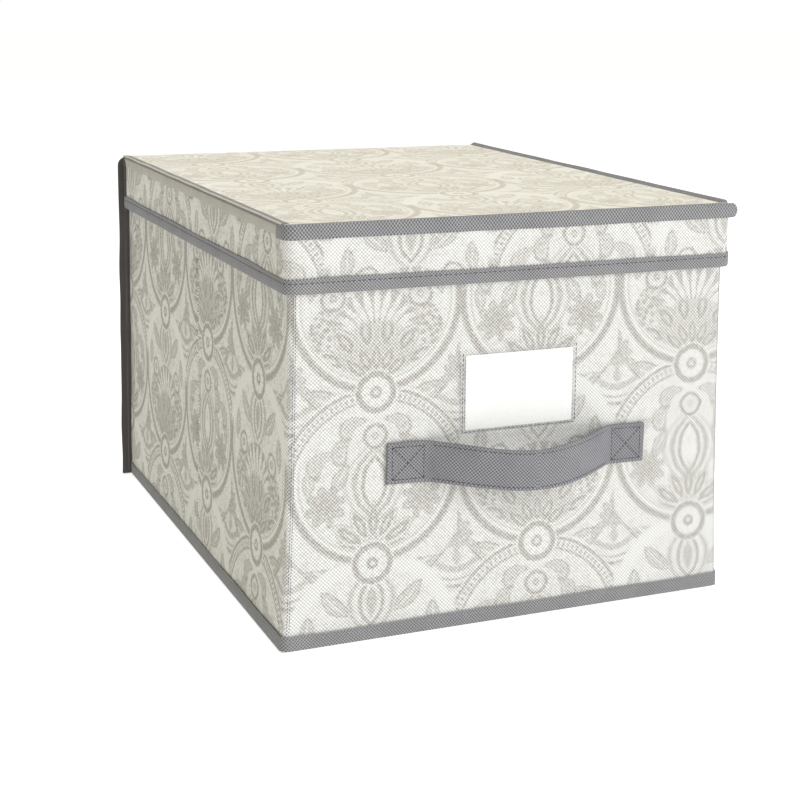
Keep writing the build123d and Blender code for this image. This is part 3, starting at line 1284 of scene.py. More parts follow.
@dataclass
class Finishes:
    """All materials of the bin."""

    printed: bpy.types.Material
    skirt: bpy.types.Material
    lid_top: bpy.types.Material
    lining: bpy.types.Material
    binding: bpy.types.Material
    dark_binding: bpy.types.Material
    thin_binding: bpy.types.Material
    piping: bpy.types.Material
    strap: bpy.types.Material
    thread: bpy.types.Material
    blue_thread: bpy.types.Material
    pale_thread: bpy.types.Material
    card: bpy.types.Material
    film: bpy.types.Material
    board: bpy.types.Material

    @classmethod
    def make(cls, workshop: Workshop) -> "Finishes":
        """Make every material once.

        Args:
            workshop: holder of the shader groups.

        Returns:
            All finishes.
        """
        ivory, taupe = linear(241, 241, 239), linear(184, 180, 174)
        fine = Weave(2.15, 0.0, "tight_weave")
        return cls(
            printed=PrintedCloth("printed_cloth", ivory, taupe).make(workshop),
            skirt=PrintedCloth("printed_skirt_cloth", ivory, taupe, offset=(-23.0, -11.5, 0)).make(workshop),
            lid_top=PrintedCloth(
                "printed_lid_cloth", linear(244, 241, 230), linear(206, 200, 184), shade=0.66,
                offset=(12.0, 38.0, 0), coverage=0.8, side_shade_depth=0.0
            ).make(workshop),
            lining=PlainCloth("lining_cloth", linear(214, 209, 198), linear(186, 180, 168)).make(workshop),
            binding=PlainCloth(
                "binding_cloth", linear(168, 168, 169), linear(100, 100, 104), fine
            ).make(workshop),
            dark_binding=PlainCloth(
                "rear_binding_cloth", linear(112, 108, 106), linear(48, 45, 45), fine
            ).make(workshop),
            # Pale grey binding blended towards the print's colour, for the left edge's hanging leg: partly
            # the binding, partly painted shade under the lid's edge.
            thin_binding=PlainCloth(
                "thin_binding_cloth", linear(206, 203, 192), linear(166, 162, 151), fine
            ).make(workshop),
            piping=PlainCloth(
                "piping_cloth", linear(226, 222, 205), linear(196, 190, 172), fine
            ).make(workshop),
            strap=PlainCloth(
                "strap_webbing", linear(161, 161, 164), linear(98, 98, 104), Weave(2.25, 0.0, "strap_weave"),
                relief=0.25
            ).make(workshop),
            thread=Thread("dark_thread", linear(62, 62, 66)).make(),
            blue_thread=Thread("blue_grey_thread", linear(96, 100, 118)).make(),
            pale_thread=Thread("pale_thread", linear(172, 172, 176)).make(),
            card=Paper("label_card_paper", linear(250, 250, 249), 0.985).make(),
            film=ClearFilm("pocket_film").make(),
            board=Paper("grey_board", linear(150, 142, 130), 0.8, 0.6).make(),
        )


def finish_piece(
    obj: Piece, body: Optional[str], material: bpy.types.Material, slot: Slot,
    replaces: Sequence[str] = ()
) -> Piece:
    """Dress a piece and say what it is.

    Args:
        obj: the piece.
        body: the body it rides on, or None to leave it unattached.
        material: its material.
        slot: its material slot.
        replaces: CAD nodes it stands for.

    Returns:
        The piece.
    """
    obj.data.materials.clear()
    obj.data.materials.append(material)
    if replaces:
        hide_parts(*replaces)
    if body:
        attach(obj, body)
    LOG.info("piece %s: %d faces, %s", obj.name, len(obj.data.polygons), slot.value)
    return obj


def panel_surface(
    origin: Sequence[float], along: Sequence[float], up: Sequence[float], size: Tuple[float, float],
    step: float, relief: float = 0.0, seed: int = 1
) -> Tuple[Array, Array]:
    """A flat panel of cloth with a little waviness: the origin plus s along and t up, raised by the waviness.

    Args:
        origin: its first corner, mm.
        along: direction of the first side.
        up: direction of the second side; the panel faces along cross up.
        size: its two lengths, mm.
        step: spacing of the grid, mm.
        relief: half height of the waves, mm.
        seed: which waviness.

    Returns:
        The surface and its cloth coordinates.
    """
    s, t = np.meshgrid(
        np.linspace(0, size[0], max(int(size[0] / step), 2) + 1),
        np.linspace(0, size[1], max(int(size[1] / step), 2) + 1), indexing="ij"
    )
    along, up = np.asarray(along, float), np.asarray(up, float)
    edge = np.minimum(np.minimum(s, size[0] - s), np.minimum(t, size[1] - t))
    lift = ripple(s, t, seed, relief, 70.0) * smooth_step(edge, 0, 12)
    surface = (
        np.asarray(origin, float) + along * s[..., None] + up * t[..., None]
        + np.cross(along, up) * lift[..., None]
    )
    return surface, np.stack([s, t], axis=-1)


# the standing body


@dataclass
class Body:
    """Four board walls in printed cloth, lined and bound, with two seams that stand out at the back."""

    finishes: Finishes
    splayed: Tuple[float, float, float, float] = (0.5, 7.0, 3.0, 0.5)
    splay_top: float = 216.0
    corner: float = 4.0
    rim_corner: float = 5.2
    foot_corner: float = 4.6
    wall_step: float = 6.0
    crease_depth: float = 1.8
    floor_gap: float = 0.8
    foot_tall: float = 9.0
    foot_stand: float = 0.35
    seam_top: float = 256.6
    seam_reach: float = 8.2
    seam_y: float = 193.0
    half_width: float = 0.0
    half_depth: float = 0.0
    wall_top: float = 0.0

    def __post_init__(self) -> None:
        """Read the sizes of the CAD walls."""
        cover, side = Extent.of("front_cover"), Extent.of("left_cover")
        self.half_width, self.half_depth = -float(side.low[0]), -float(cover.low[1])
        self.wall_top = float(cover.high[2])

    def stand_off(self, run: Array, height: Array) -> Array:
        """How far the cloth lies outside the splayed wall.

        It waves a little, and sinks at the side creases and beside the corners.

        Args:
            run: length round the wall from the front left corner, mm.
            height: height over the floor, mm.

        Returns:
            Distance outwards, mm.
        """
        span = 2 * self.half_width
        calm = 1 - smooth_step(height, 195, 215)
        waves = ripple(run, height, 3, 0.3, 95) * calm * smooth_step(height, 4, 30)
        y_side = np.where(run < span / 2, run + self.half_depth, run - span - self.half_depth)
        band = smooth_step(height, 8, 26) * (1 - smooth_step(height, 205, 220))
        crease = (
            self.crease_depth * np.exp(-((y_side / 2.2) ** 2)) + 0.4 * np.exp(-((y_side / 10) ** 2))
        ) * band
        corner = np.minimum(np.abs(run), np.abs(run - span))
        dent = 0.35 * np.exp(-(((corner - 8) / 3.0) ** 2)) * calm
        return waves - crease - dent

    def splay(self, level: Array, height: Union[float, Array]) -> Array:
        """Move points of the walls outwards.

        The share grows with the square of the way down, and the four corners share it in proportion.

        Args:
            level: x and y of each point, mm.
            height: their heights over the floor, mm.

        Returns:
            The moved x and y.
        """
        rear_left, left, right, rear_right = self.splayed
        share = np.clip(1 - np.asarray(height, float) / self.splay_top, 0, 1) ** 2
        across = (level[..., 0] + self.half_width) / (2 * self.half_width)
        forward = (self.half_depth - level[..., 1]) / (2 * self.half_depth)
        left_out, right_out = (
            rear_left + (left - rear_left) * forward, rear_right + (right - rear_right) * forward
        )
        x = level[..., 0] + (across * right_out - (1 - across) * left_out) * share
        y = level[..., 1] - forward * (left + (right - left) * across) * share
        return np.stack([x, y], axis=-1)

    def front_y(self, x: Array, z: float) -> Array:
        """Where the front cloth's outer face lies at a height, waves left out."""
        x = np.asarray(x, float)
        return self.splay(np.stack([x, np.full_like(x, -self.half_depth)], axis=-1), z)[..., 1]

    def route(self, radius: float) -> Route:
        """The line of the left, front and right walls, seen from above."""
        w, d = self.half_width, self.half_depth
        return Route.rounded([(-w, d), (-w, -d), (w, -d), (w, d)], radius, self.wall_step)

    def wall_wrap(self) -> None:
        """The printed cloth round left, front and right: the wall's line moved out by the stand-off."""
        line = self.route(self.corner)
        creases = np.concatenate(
            [c + np.linspace(-14, 14, 29) for c in (-self.half_depth, 2 * self.half_width + self.half_depth)]
        )
        runs = np.unique(
            np.concatenate(
                [line.run, creases, [-8, -5, 5, 8, 2 * self.half_width - 8, 2 * self.half_width + 8]]
            )
        )
        runs = runs[np.concatenate([[True], np.diff(runs) > 0.25])]
        line = line.at(np.clip(runs, line.run[0], line.run[-1]))
        z = np.linspace(self.floor_gap, self.wall_top, 58)
        run, height = np.meshgrid(line.run, z, indexing="ij")
        off = self.stand_off(run, height)
        level = self.splay(line.points[:, None] + line.outward[:, None] * off[..., None], height)
        surface = np.concatenate([level, height[..., None]], axis=-1)
        obj = cloth_shell("wall_wrap", surface, np.stack([run, height], axis=-1), COVER_PLY)
        finish_piece(
            obj, "body", self.finishes.printed, Slot.PRINTED, ["front_cover", "left_cover", "right_cover"]
        )

    def back_panel(self) -> None:
        """The printed cloth of the back wall."""
        surface, maps = panel_surface(
            (self.half_width, self.half_depth, self.floor_gap), (-1, 0, 0), UP, (2 * self.half_width, 249.2),
            7.0, 0.25, 8
        )
        finish_piece(
            cloth_shell("back_panel", surface, maps, COVER_PLY), "body", self.finishes.printed, Slot.PRINTED,
            ["back_cover"]
        )

    def bottom(self) -> None:
        """The cloth under and over the floor of the bin."""
        w, d = self.half_width, self.half_depth
        surface, maps = panel_surface((w, -d, 0.02), (-1, 0, 0), (0, 1, 0), (2 * w, 2 * d), 9.0, 0.0, 9)
        surface[..., :2] = self.splay(surface[..., :2], 0.0)
        finish_piece(
            cloth_shell("under_cloth", surface, maps, UNDER_PLY), "body", self.finishes.lining, Slot.LINING,
            ["bottom_cover"]
        )
        inside = Extent.of("bottom_lining")
        size = inside.high - inside.low
        surface, maps = panel_surface(
            (inside.low[0], inside.low[1], inside.high[2]), (1, 0, 0), (0, 1, 0), (size[0], size[1]), 9.0,
            0.15, 10
        )
        finish_piece(
            cloth_shell("floor_lining", surface, maps, LINING_PLY), "body", self.finishes.lining, Slot.LINING,
            ["bottom_lining"]
        )

    def linings(self) -> None:
        """The linings of the four walls, which face inwards; the side ones sink a little at their crease."""
        x, y = Extent.of("right_lining").low[0], Extent.of("back_lining").low[1]
        low, top = 1.6, self.wall_top
        plans = {
            "front": ((x, -y, low), (-1, 0, 0), 2 * x),
            "back": ((-x, y, low), (1, 0, 0), 2 * x),
            "left": ((-x, -y, low), (0, 1, 0), 2 * y),
            "right": ((x, y, low), (0, -1, 0), 2 * y),
        }
        for seed, (side, (origin, along, length)) in enumerate(plans.items()):
            surface, maps = panel_surface(origin, along, UP, (length, top - low), 6.0, 0.2, 20 + seed)
            if side in ("left", "right"):
                inward = 1.0 if side == "left" else -1.0
                surface[..., 0] += (
                    inward * 0.9 * np.exp(-((surface[..., 1] / 4.5) ** 2))
                    * smooth_step(surface[..., 2], 8, 30)
                )
            obj = cloth_shell(f"{side}_wall_lining", surface, maps, LINING_PLY)
            finish_piece(obj, "body", self.finishes.lining, Slot.LINING, [f"{side}_lining"])

    def foot(self) -> None:
        """The binding round the foot, its stitches and its pale upper edge."""
        w, d = self.half_width + self.foot_stand, self.half_depth + self.foot_stand
        corners = self.splay(np.array([(-w, d), (-w, -d), (w, -d), (w, d)]), 0.0)
        line = Route.rounded(corners, self.foot_corner, self.wall_step, closed=True)
        section = np.repeat(tape_section(self.foot_tall, 0.85, 0.35)[None], len(line.run), axis=0)
        wave = ripple(line.run, 0 * line.run, 31, 0.3, 60)
        section[..., 1] += wave[:, None] * (section[..., 1] > 0)
        obj = sweep("foot_binding", *level_frames(line, self.foot_tall / 2), section, closed=True)
        names = [f"{side}_foot_binding" for side in ("front", "back", "left", "right")]
        finish_piece(obj, "body", self.finishes.binding, Slot.BINDING, names)
        spots = line.at(np.arange(line.run[0], line.run[-1], FOOT_STITCH.pitch))
        obj = level_stitches("foot_stitches", spots, 6.9, 0.72, FOOT_STITCH)
        finish_piece(obj, "body", self.finishes.pale_thread, Slot.THREAD)
        centre, side, up = level_frames(line, self.foot_tall - 0.05 + wave)
        obj = sweep("foot_edge_thread", centre + side * 0.1, side, up, ring_section(0.32, 6), closed=True)
        finish_piece(obj, "body", self.finishes.pale_thread, Slot.THREAD)

    def corner_stitches(self) -> None:
        """Two rows of small stitches down each front corner, where the wall cloth is folded."""
        z = np.arange(11.0, self.wall_top - 12, CORNER_STITCH.pitch)
        span = 2 * self.half_width
        line = self.route(self.corner)
        for word, places in (("left", (1.6, 3.0)), ("right", (span - 1.6, span - 3.0))):
            centres, outs = [], []
            for index, place in enumerate(places):
                height = z + CORNER_STITCH.pitch / 2 * index
                spot = line.at(np.full_like(height, place))
                off = self.stand_off(spot.run, height) + 0.05
                level = self.splay(spot.points + spot.outward * off[:, None], height)
                centres.append(np.concatenate([level, height[:, None]], axis=1))
                outs.append(np.concatenate([spot.outward, np.zeros((len(height), 1))], axis=1))
            centre, out = np.concatenate(centres), np.concatenate(outs)
            obj = stitches(f"{word}_corner_stitches", centre, everywhere(UP, len(centre)), out, CORNER_STITCH)
            finish_piece(obj, "body", self.finishes.blue_thread, Slot.THREAD)

    def rim(self) -> None:
        """The binding folded over the rim of the left, front and right walls."""
        line = self.route(self.rim_corner)
        low = float(Extent.of("front_rim_binding").low[2])
        section = np.array([
            [0.72, 0], [0.8, 4.5], [0.74, 8.0], [0.45, 8.75], [-0.3, 9.0], [-3.4, 9.0], [-4.1, 8.75],
            [-4.35, 8.0], [-4.38, 4.5], [-4.3, 0], [-3.7, 0.05], [-3.72, 8.0], [-0.05, 8.0], [0.02, 0.05]
        ])
        obj = sweep("rim_binding", *level_frames(line, low), section)
        finish_piece(
            obj, "body", self.finishes.binding, Slot.BINDING,
            ["front_rim_binding", "left_rim_binding", "right_rim_binding"]
        )
        spots = line.at(np.arange(line.run[0] + 3, line.run[-1] - 3, RIM_STITCH.pitch))
        obj = level_stitches("rim_stitches", spots, low + 1.8, -4.4, RIM_STITCH)
        finish_piece(obj, "body", self.finishes.thread, Slot.THREAD)

    def rear_seam(self, side: Side) -> None:
        """The seam that stands out at a back corner: a folded tape from floor to lid, round at its top.

        Args:
            side: which corner.
        """
        word = side.name.lower()
        round_off = 6.0
        straight = self.seam_top - round_off
        z = np.concatenate(
            [np.linspace(0, straight, 70), straight + round_off * np.sin(np.linspace(0.1, math.pi / 2, 9))]
        )
        near_top = np.clip((z - straight) / round_off, 0, 1)
        wave = ripple(z, 0 * z, 41 + side.value, 0.25, 40) * (1 - near_top)
        width = self.seam_reach * (0.25 + 0.75 * np.sqrt(1 - near_top**2 * 0.98)) + wave
        base = np.array([
            [-0.4, -0.95], [0.5, -1.02], [0.82, -0.9], [0.95, -0.62], [1.0, 0.0], [0.95, 0.62],
            [0.82, 0.9], [0.5, 1.02], [-0.4, 0.95]
        ])
        section = np.repeat(base[None], len(z), axis=0)
        section[..., 0] = np.where(base[None, :, 0] > 0, base[None, :, 0] * width[:, None], base[None, :, 0])
        y = self.seam_y + ripple(z, 0 * z, 51 + side.value, 0.35, 90)
        centre = np.stack([np.full_like(z, side.value * self.half_width), y, z], axis=1)
        outward = everywhere((side.value, 0, 0), len(z))
        obj = sweep(f"{word}_rear_seam", centre, outward, everywhere((0, 1, 0), len(z)), section)
        finish_piece(obj, "body", self.finishes.dark_binding, Slot.BINDING, [f"{word}_rear_seam_binding"])
        spots = np.arange(4, self.seam_top - 8, SEAM_STITCH.pitch)
        x, count = side.value * (self.half_width + 3.2), len(spots)
        centre = np.stack([np.full_like(spots, x), np.full_like(spots, self.seam_y - 1.05), spots], axis=1)
        along, out = everywhere(UP, count), everywhere(FORWARD, count)
        obj = stitches(f"{word}_rear_seam_stitches", centre, along, out, SEAM_STITCH)
        finish_piece(obj, "body", self.finishes.pale_thread, Slot.THREAD)

    def crease_stitches(self, side: Side) -> None:
        """The stitched line down the middle of a side wall.

        Args:
            side: which wall.
        """
        word = side.name.lower()
        z = np.arange(13.0, 213.0, CREASE_STITCH.pitch)
        run = np.full_like(
            z, -self.half_depth if side is Side.LEFT else 2 * self.half_width + self.half_depth
        )
        x = side.value * (self.half_width + self.stand_off(run, z) + 0.12)
        centre = np.concatenate([self.splay(np.stack([x, 0 * z], axis=1), z), z[:, None]], axis=1)
        outward = everywhere((side.value, 0, 0), len(z))
        obj = stitches(f"{word}_crease_stitches", centre, everywhere(UP, len(z)), outward, CREASE_STITCH)
        finish_piece(obj, "body", self.finishes.pale_thread, Slot.THREAD, [f"{word}_crease_stitching"])

    def boards(self) -> None:
        """The grey boards inside, which keep their CAD shape."""
        names = [
            "front_board", "back_board", "left_front_side_board", "left_rear_side_board",
            "right_front_side_board", "right_rear_side_board", "base_board_core", "lid_board"
        ]
        for name in names:
            obj = bpy.data.objects[name]
            obj.data.materials.clear()
            obj.data.materials.append(self.finishes.board)

    def build(self) -> None:
        """Make the whole body."""
        self.wall_wrap()
        self.back_panel()
        self.bottom()
        self.linings()
        self.foot()
        self.corner_stitches()
        self.rim()
        for side in Side:
            self.rear_seam(side)
            self.crease_stitches(side)
        self.boards()


# label pocket and handle


@dataclass
class LabelPocket:
    """A clear pocket stitched to the front on three sides, with a plain card in it."""

    finishes: Finishes
    body: Body
    plane: float = 0.0

    def __post_init__(self) -> None:
        """Find the plane of the pocket, which touches the cloth at the pocket's foot."""
        film = Extent.of("label_film")
        self.plane = float(self.body.front_y(film.low[0], float(film.low[2]))) - 0.2

    def sheet(
        self, name: str, low: Array, high: Array, gap: float, ply: float, step: float, slack: float = 0.0
    ) -> Piece:
        """A flat sheet that lies over the front cloth.

        Args:
            name: name of the piece.
            low: its lowest corner, mm.
            high: its highest corner, mm.
            gap: how far its outer face is from the cloth, mm.
            ply: its thickness, mm.
            step: spacing of its grid, mm.
            slack: how far it swells in its middle, mm.

        Returns:
            The piece.
        """
        wide, tall = high[0] - low[0], high[2] - low[2]
        across, up = (
            np.linspace(low[0], high[0], int(wide / step)), np.linspace(low[2], high[2], int(tall / step))
        )
        x, z = np.meshgrid(across, up, indexing="ij")
        part = ((x - low[0]) / wide) * (1 - (x - low[0]) / wide) * 4
        y = self.plane - gap - slack * part * smooth_step(z, low[2], high[2])
        return cloth_shell(
            name, np.stack([x, y, z], axis=-1), np.stack([x - low[0], z - low[2]], axis=-1), ply
        )

    def stitch_row(self, name: str, knots: Sequence[Tuple[float, float]]) -> None:
        """Stitch along knots on the front.

        Args:
            name: name of the row.
            knots: x and z of each knot, mm.
        """
        flat = np.array(knots, float)
        path = np.stack([flat[:, 0], 0 * flat[:, 0], flat[:, 1]], axis=1)
        centre, along = seam_line(path, POCKET_STITCH.pitch)
        centre[:, 1] = self.plane - 1.02
        obj = stitches(name, centre, along, everywhere(FORWARD, len(centre)), POCKET_STITCH)
        finish_piece(obj, "body", self.finishes.blue_thread, Slot.THREAD, ["label_stitching"])

    def build(self) -> None:
        """Make card, film, edging and stitches."""
        card, film = Extent.of("label_card"), Extent.of("label_film")
        obj = self.sheet("label_card_blank", card.low, card.high, 0.5, 0.3, 6.0)
        finish_piece(obj, "label_card", self.finishes.card, Slot.CARD, ["label_card"])
        obj = self.sheet("label_pocket_film", film.low, film.high, 0.86, 0.12, 4.0, 0.15)
        finish_piece(obj, "body", self.finishes.film, Slot.FILM, ["label_film"])
        inset = 1.2
        left, right, low, top = film.low[0] + inset, film.high[0] - inset, film.low[2] + inset, film.high[2]
        knots = [(left, top), (left, low), (right, low), (right, top)]
        line = Route.rounded(knots, 1.4, 4.0)
        centre = np.stack(
            [line.points[:, 0], np.full(len(line.run), self.plane - 0.38), line.points[:, 1]], axis=1
        )
        across = np.stack([line.outward[:, 0], 0 * line.run, line.outward[:, 1]], axis=1)
        section = tape_section(2.2, 0.5)[:, ::-1]
        obj = sweep("label_pocket_edging", centre, across, everywhere(FORWARD, len(centre)), section)
        finish_piece(obj, "body", self.finishes.film, Slot.FILM, ["label_film_edging"])
        self.stitch_row("label_pocket_stitches", knots)


@dataclass
class Handle:
    """A webbing strap that bows out between two sewn ends; its two halves meet in the middle."""

    finishes: Finishes
    body: Body
    middle: float = 2.0
    half_span: float = 63.5
    patch: float = 26.0
    width: float = 26.0
    ply: float = 2.3
    bow: float = 26.5
    height: float = 106.9
    droop: float = 4.0
    tilt: float = 1.25
    still_from: float = 60.0
    swing_from: float = 36.0

    def line(self, x: Array) -> Array:
        """The strap's middle line.

        It bows by one minus the square of the distance from the middle, and is soft where it meets the wall.

        Args:
            x: places across the front, mm.

        Returns:
            Points, n by 3, mm.
        """
        part = (np.asarray(x, float) - self.middle) / self.half_span
        raw = self.bow * (1 - part**2)
        soft = 1.3
        out = soft * np.logaddexp(0, raw / soft)
        wall = 0.25 - self.body.front_y(x, self.height)
        z = self.height - self.tilt * part - self.droop * smooth_step(1 - np.abs(part), 0, 1)
        return np.stack([x, -(wall + self.ply / 2 + out), z], axis=1)

    def frames(self, x: Array) -> Tuple[Array, Array, Array]:
        """The line with its directions.

        Args:
            x: places across the front, mm.

        Returns:
            Its points, the directions away from the wall, and those upwards.
        """
        line = self.line(x)
        tangent = np.gradient(line, axis=0)
        tangent = tangent / np.linalg.norm(tangent, axis=1)[:, None]
        out = np.cross(tangent, UP)
        out = out / np.linalg.norm(out, axis=1)[:, None]
        return line, out, np.cross(out, tangent)

    def stations(self, side: Side, inner: float, outer: float, step: float) -> Array:
        """Even places along one half, from the inner to the outer distance from the middle, left to right."""
        span = np.linspace(inner, outer, max(int((outer - inner) / step), 2) + 1)
        return np.sort(self.middle + side.value * span)

    def bend(self, obj: Piece, side: Side) -> None:
        """Bake a piece's placement into its mesh; the points where it would turn are worked out but not used.

        Args:
            obj: the piece.
            side: which half it is on.
        """
        def spot(distance: float) -> Tuple[float, float, float]:
            """Point at a distance from the middle, in metres."""
            return ((self.middle + side.value * distance) * MM, -0.2, self.height * MM)

        spot(self.still_from)
        spot(self.swing_from)
        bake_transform(obj)

    def half(self, side: Side) -> None:
        """One half of the strap with its sewn end.

        Args:
            side: which half.
        """
        word = side.name.lower()
        x = self.stations(side, 0.0, self.half_span + self.patch, 1.5)
        line, out, up = self.frames(x)
        section = tape_section(self.width, self.ply, 0.15, 16)
        ridge = 0.22 * np.exp(-(((np.abs(section[:, 1]) - 9.0) / 1.4) ** 2)) * np.sign(section[:, 0])
        section = np.repeat(section[None], len(x), axis=0)
        distance = np.abs(x - self.middle)
        section[..., 0] -= ridge[None] * (distance < self.half_span - 2)[:, None]
        section[..., 1] *= (1 + 0.012 * ripple(x, 0 * x, 61, 1.0, 35))[:, None]
        obj = sweep(f"{word}_strap_half", line, out, up, section)
        nodes = [f"{word}_handle_end", "handle_grip"]
        finish_piece(obj, None, self.finishes.strap, Slot.STRAP, nodes)
        self.bend(obj, side)

    def sewing(self, side: Side) -> None:
        """The sewn square with its cross on one end, and the two rows along the strap's edges.

        Args:
            side: which end.
        """
        word = side.name.lower()
        near, far = self.half_span + 2.2, self.half_span + self.patch - 3.0
        tall = self.width / 2 - 2.8
        knots = [(near, -tall), (near, tall), (far, tall), (far, -tall), (near, -tall)]
        rows = [knots, [(near, -tall), (far, tall)], [(near, tall), (far, -tall)]]
        centres, alongs = [], []
        for row in rows:
            flat = np.array([(self.middle + side.value * d, 0.0, h) for d, h in row])
            centre, along = seam_line(flat, BOX_STITCH.pitch)
            line = self.line(centre[:, 0])
            y, z = line[:, 1] - self.ply / 2 - 0.2, line[:, 2] + centre[:, 2]
            centres.append(np.stack([centre[:, 0], y, z], axis=1))
            alongs.append(along)
        centre, along = np.concatenate(centres), np.concatenate(alongs)
        outward = everywhere(FORWARD, len(centre))
        obj = stitches(f"{word}_handle_box_stitches", centre, along, outward, BOX_STITCH)
        finish_piece(obj, "body", self.finishes.thread, Slot.THREAD, [f"{word}_handle_stitching"])
        x = self.stations(side, 1.6, self.half_span - 3.0, 0.5)
        line, out, up = self.frames(x)
        rows = []
        for edge in (-1, 1):
            centre, along = seam_line(
                line + out * (self.ply / 2 + 0.12) + up * edge * (self.width / 2 - 2.4), STRAP_STITCH.pitch
            )
            direction = np.stack([np.interp(centre[:, 0], x, out[:, i]) for i in range(3)], axis=1)
            rows.append((centre, along, direction))
        centre, along, direction = (np.concatenate([r[i] for r in rows]) for i in range(3))
        obj = stitches(f"{word}_strap_edge_stitches", centre, along, direction, STRAP_STITCH)
        finish_piece(obj, None, self.finishes.thread, Slot.THREAD)
        self.bend(obj, side)

    def build(self) -> None:
        """Make both halves."""
        for side in Side:
            self.half(side)
            self.sewing(side)


# lid and base board


@dataclass
class Lid:
    """A board lid in printed cloth with a bound, hanging skirt, hinged by its cloth at the back."""

    finishes: Finishes
    corner: float = 6.0
    half_width: float = 0.0
    front: float = 0.0
    back: float = 0.0
    top: float = 0.0
    low: float = 0.0
    skirt_back: float = 0.0
    hinge_from: float = 186.0
    hinge_edge: float = 192.2
    hinge_bend: float = 1.9
    hinge_low: float = 250.0
    cloth_lift: float = 0.15
    edge_low: float = 248.9

    def __post_init__(self) -> None:
        """Read the sizes of the CAD lid."""
        cover, skirt = Extent.of("lid_cover"), Extent.of("left_skirt_cover")
        self.half_width, self.front = float(cover.high[0]), float(cover.low[1])
        self.top, self.back = float(cover.high[2]), float(cover.high[1])
        self.low, self.skirt_back = float(skirt.low[2]), float(skirt.high[1])

    def route(self) -> Route:
        """The line of the skirt, seen from above."""
        w, f = self.half_width, self.front
        return Route.rounded([(-w, self.skirt_back), (-w, f), (w, f), (w, self.skirt_back)], self.corner, 6.0)

    def rounded(self, x: Array, y: Array, inset: float) -> Tuple[Array, Array]:
        """Pull points of a rectangle into its two rounded front corners.

        Args:
            x: their places across, mm.
            y: their places in depth, mm.
            inset: how far the rectangle lies inside the lid, mm.

        Returns:
            The moved x and y.
        """
        cx, cy = self.half_width - self.corner, self.front + self.corner
        dx, dy = np.abs(x) - cx, cy - y
        pull = corner_pull(dx, dy, self.corner - inset)
        return np.where(dx > 0, np.sign(x) * (cx + dx * pull), x), np.where(dy > 0, cy - dy * pull, y)

    def top_cloth(self) -> None:
        """The printed cloth on top: nearly flat, with a slight waviness, and turned down at its edge."""
        inset = 0.3
        w = self.half_width - inset

        def span(start: float, stop: float, count: int) -> Array:
            """Places from start to stop that crowd together at both ends."""
            near = np.array([0.0, 0.6, 1.5, 3.0])
            return np.concatenate([start + near, np.linspace(start + 6, stop - 6, count), stop - near[::-1]])

        rows = np.concatenate([span(self.front + inset, self.hinge_from + 8, 64)[:-5], [self.hinge_from]])
        x, y = np.meshgrid(span(-w, w, 50), rows, indexing="ij")
        x, y = self.rounded(x, y, inset)
        edge = np.minimum(np.minimum(w - np.abs(x), y - self.front - inset), 30)
        calm = smooth_step(edge, 0, 20) * smooth_step(self.hinge_from - y, 0, 20)
        z = self.top + self.cloth_lift - 0.5 * np.exp(-edge / 0.9) + ripple(x, y, 71, 0.3, 110) * calm
        surface = np.stack([x, y, z], axis=-1)
        obj = cloth_shell("lid_top_cloth", surface, np.stack([x + HALF_FRONT, y], axis=-1), COVER_PLY)
        finish_piece(obj, "lid", self.finishes.lid_top, Slot.PRINTED, ["lid_cover"])

    def hinge_cloth(self) -> None:
        """The cloth that bends at the back: level on the lid, over the edge and down onto the back wall."""
        turn = np.linspace(0, math.pi / 2, 9)
        face, bend = self.top + self.cloth_lift, self.hinge_bend
        flat = np.linspace(self.hinge_from, self.hinge_edge, 6)
        arc = np.stack(
            [self.hinge_edge + bend * np.sin(turn[1:]), face - bend + bend * np.cos(turn[1:])], axis=1
        )
        drop = np.linspace(self.top - 2.2, self.hinge_low, 7)[1:]
        profile = np.concatenate([
            np.stack([flat, np.full_like(flat, face)], axis=1),
            arc,
            np.stack([np.full_like(drop, self.hinge_edge + bend), drop], axis=1),
        ])
        x = np.linspace(-148.8, 148.8, 60)
        run = running_length(profile)
        surface = np.zeros((len(x), len(profile), 3))
        surface[..., 0], surface[..., 1], surface[..., 2] = (
            x[:, None], profile[None, :, 0], profile[None, :, 1]
        )
        maps = np.stack(np.broadcast_arrays(x[:, None] + HALF_FRONT, self.hinge_from + run[None]), axis=-1)
        obj = cloth_shell("hinge_cloth", surface, maps, LINING_PLY)
        finish_piece(obj, None, self.finishes.lid_top, Slot.PRINTED, ["lid_hinge_fold"])
        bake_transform(obj)

    def skirt(self) -> None:
        """The hanging skirt and its lining."""
        line = self.route()
        for name, out, low, high, material, slot, kind in (
            ("skirt_wrap", 0.0, self.low, self.top - 0.1, self.finishes.skirt, Slot.PRINTED, "cover"),
            ("skirt_inside", -0.75, self.low, 254.2, self.finishes.lining, Slot.LINING, "lining"),
        ):
            run, height = np.meshgrid(line.run, np.linspace(low, high, 16), indexing="ij")
            off = (
                out
                + ripple(
                    run, height, 73, 0.22, 80
                ) * smooth_step(run - line.run[0], 0, 15) * smooth_step(line.run[-1] - run, 0, 15)
            )
            level = line.points[:, None] + line.outward[:, None] * off[..., None]
            surface = np.concatenate([level, height[..., None]], axis=-1)
            obj = cloth_shell(name, surface, np.stack([run, height], axis=-1), SKIRT_PLY)
            finish_piece(
                obj, "lid", material, slot, [f"{side}_skirt_{kind}" for side in ("front", "left", "right")]
            )

    def under_lining(self) -> None:
        """The lining under the lid's board."""
        under = Extent.of("lid_lining")
        size = under.high - under.low
        surface, maps = panel_surface(
            (under.high[0], under.low[1], under.low[2]), (-1, 0, 0), (0, 1, 0), (size[0], size[1]), 8.0, 0.15,
            77
        )
        x, y = self.rounded(surface[..., 0], surface[..., 1], 1.6)
        surface[..., 0], surface[..., 1] = x, y
        obj = cloth_shell("lid_under_lining", surface, maps, LINING_PLY)
        finish_piece(obj, "lid", self.finishes.lining, Slot.LINING, ["lid_lining"])

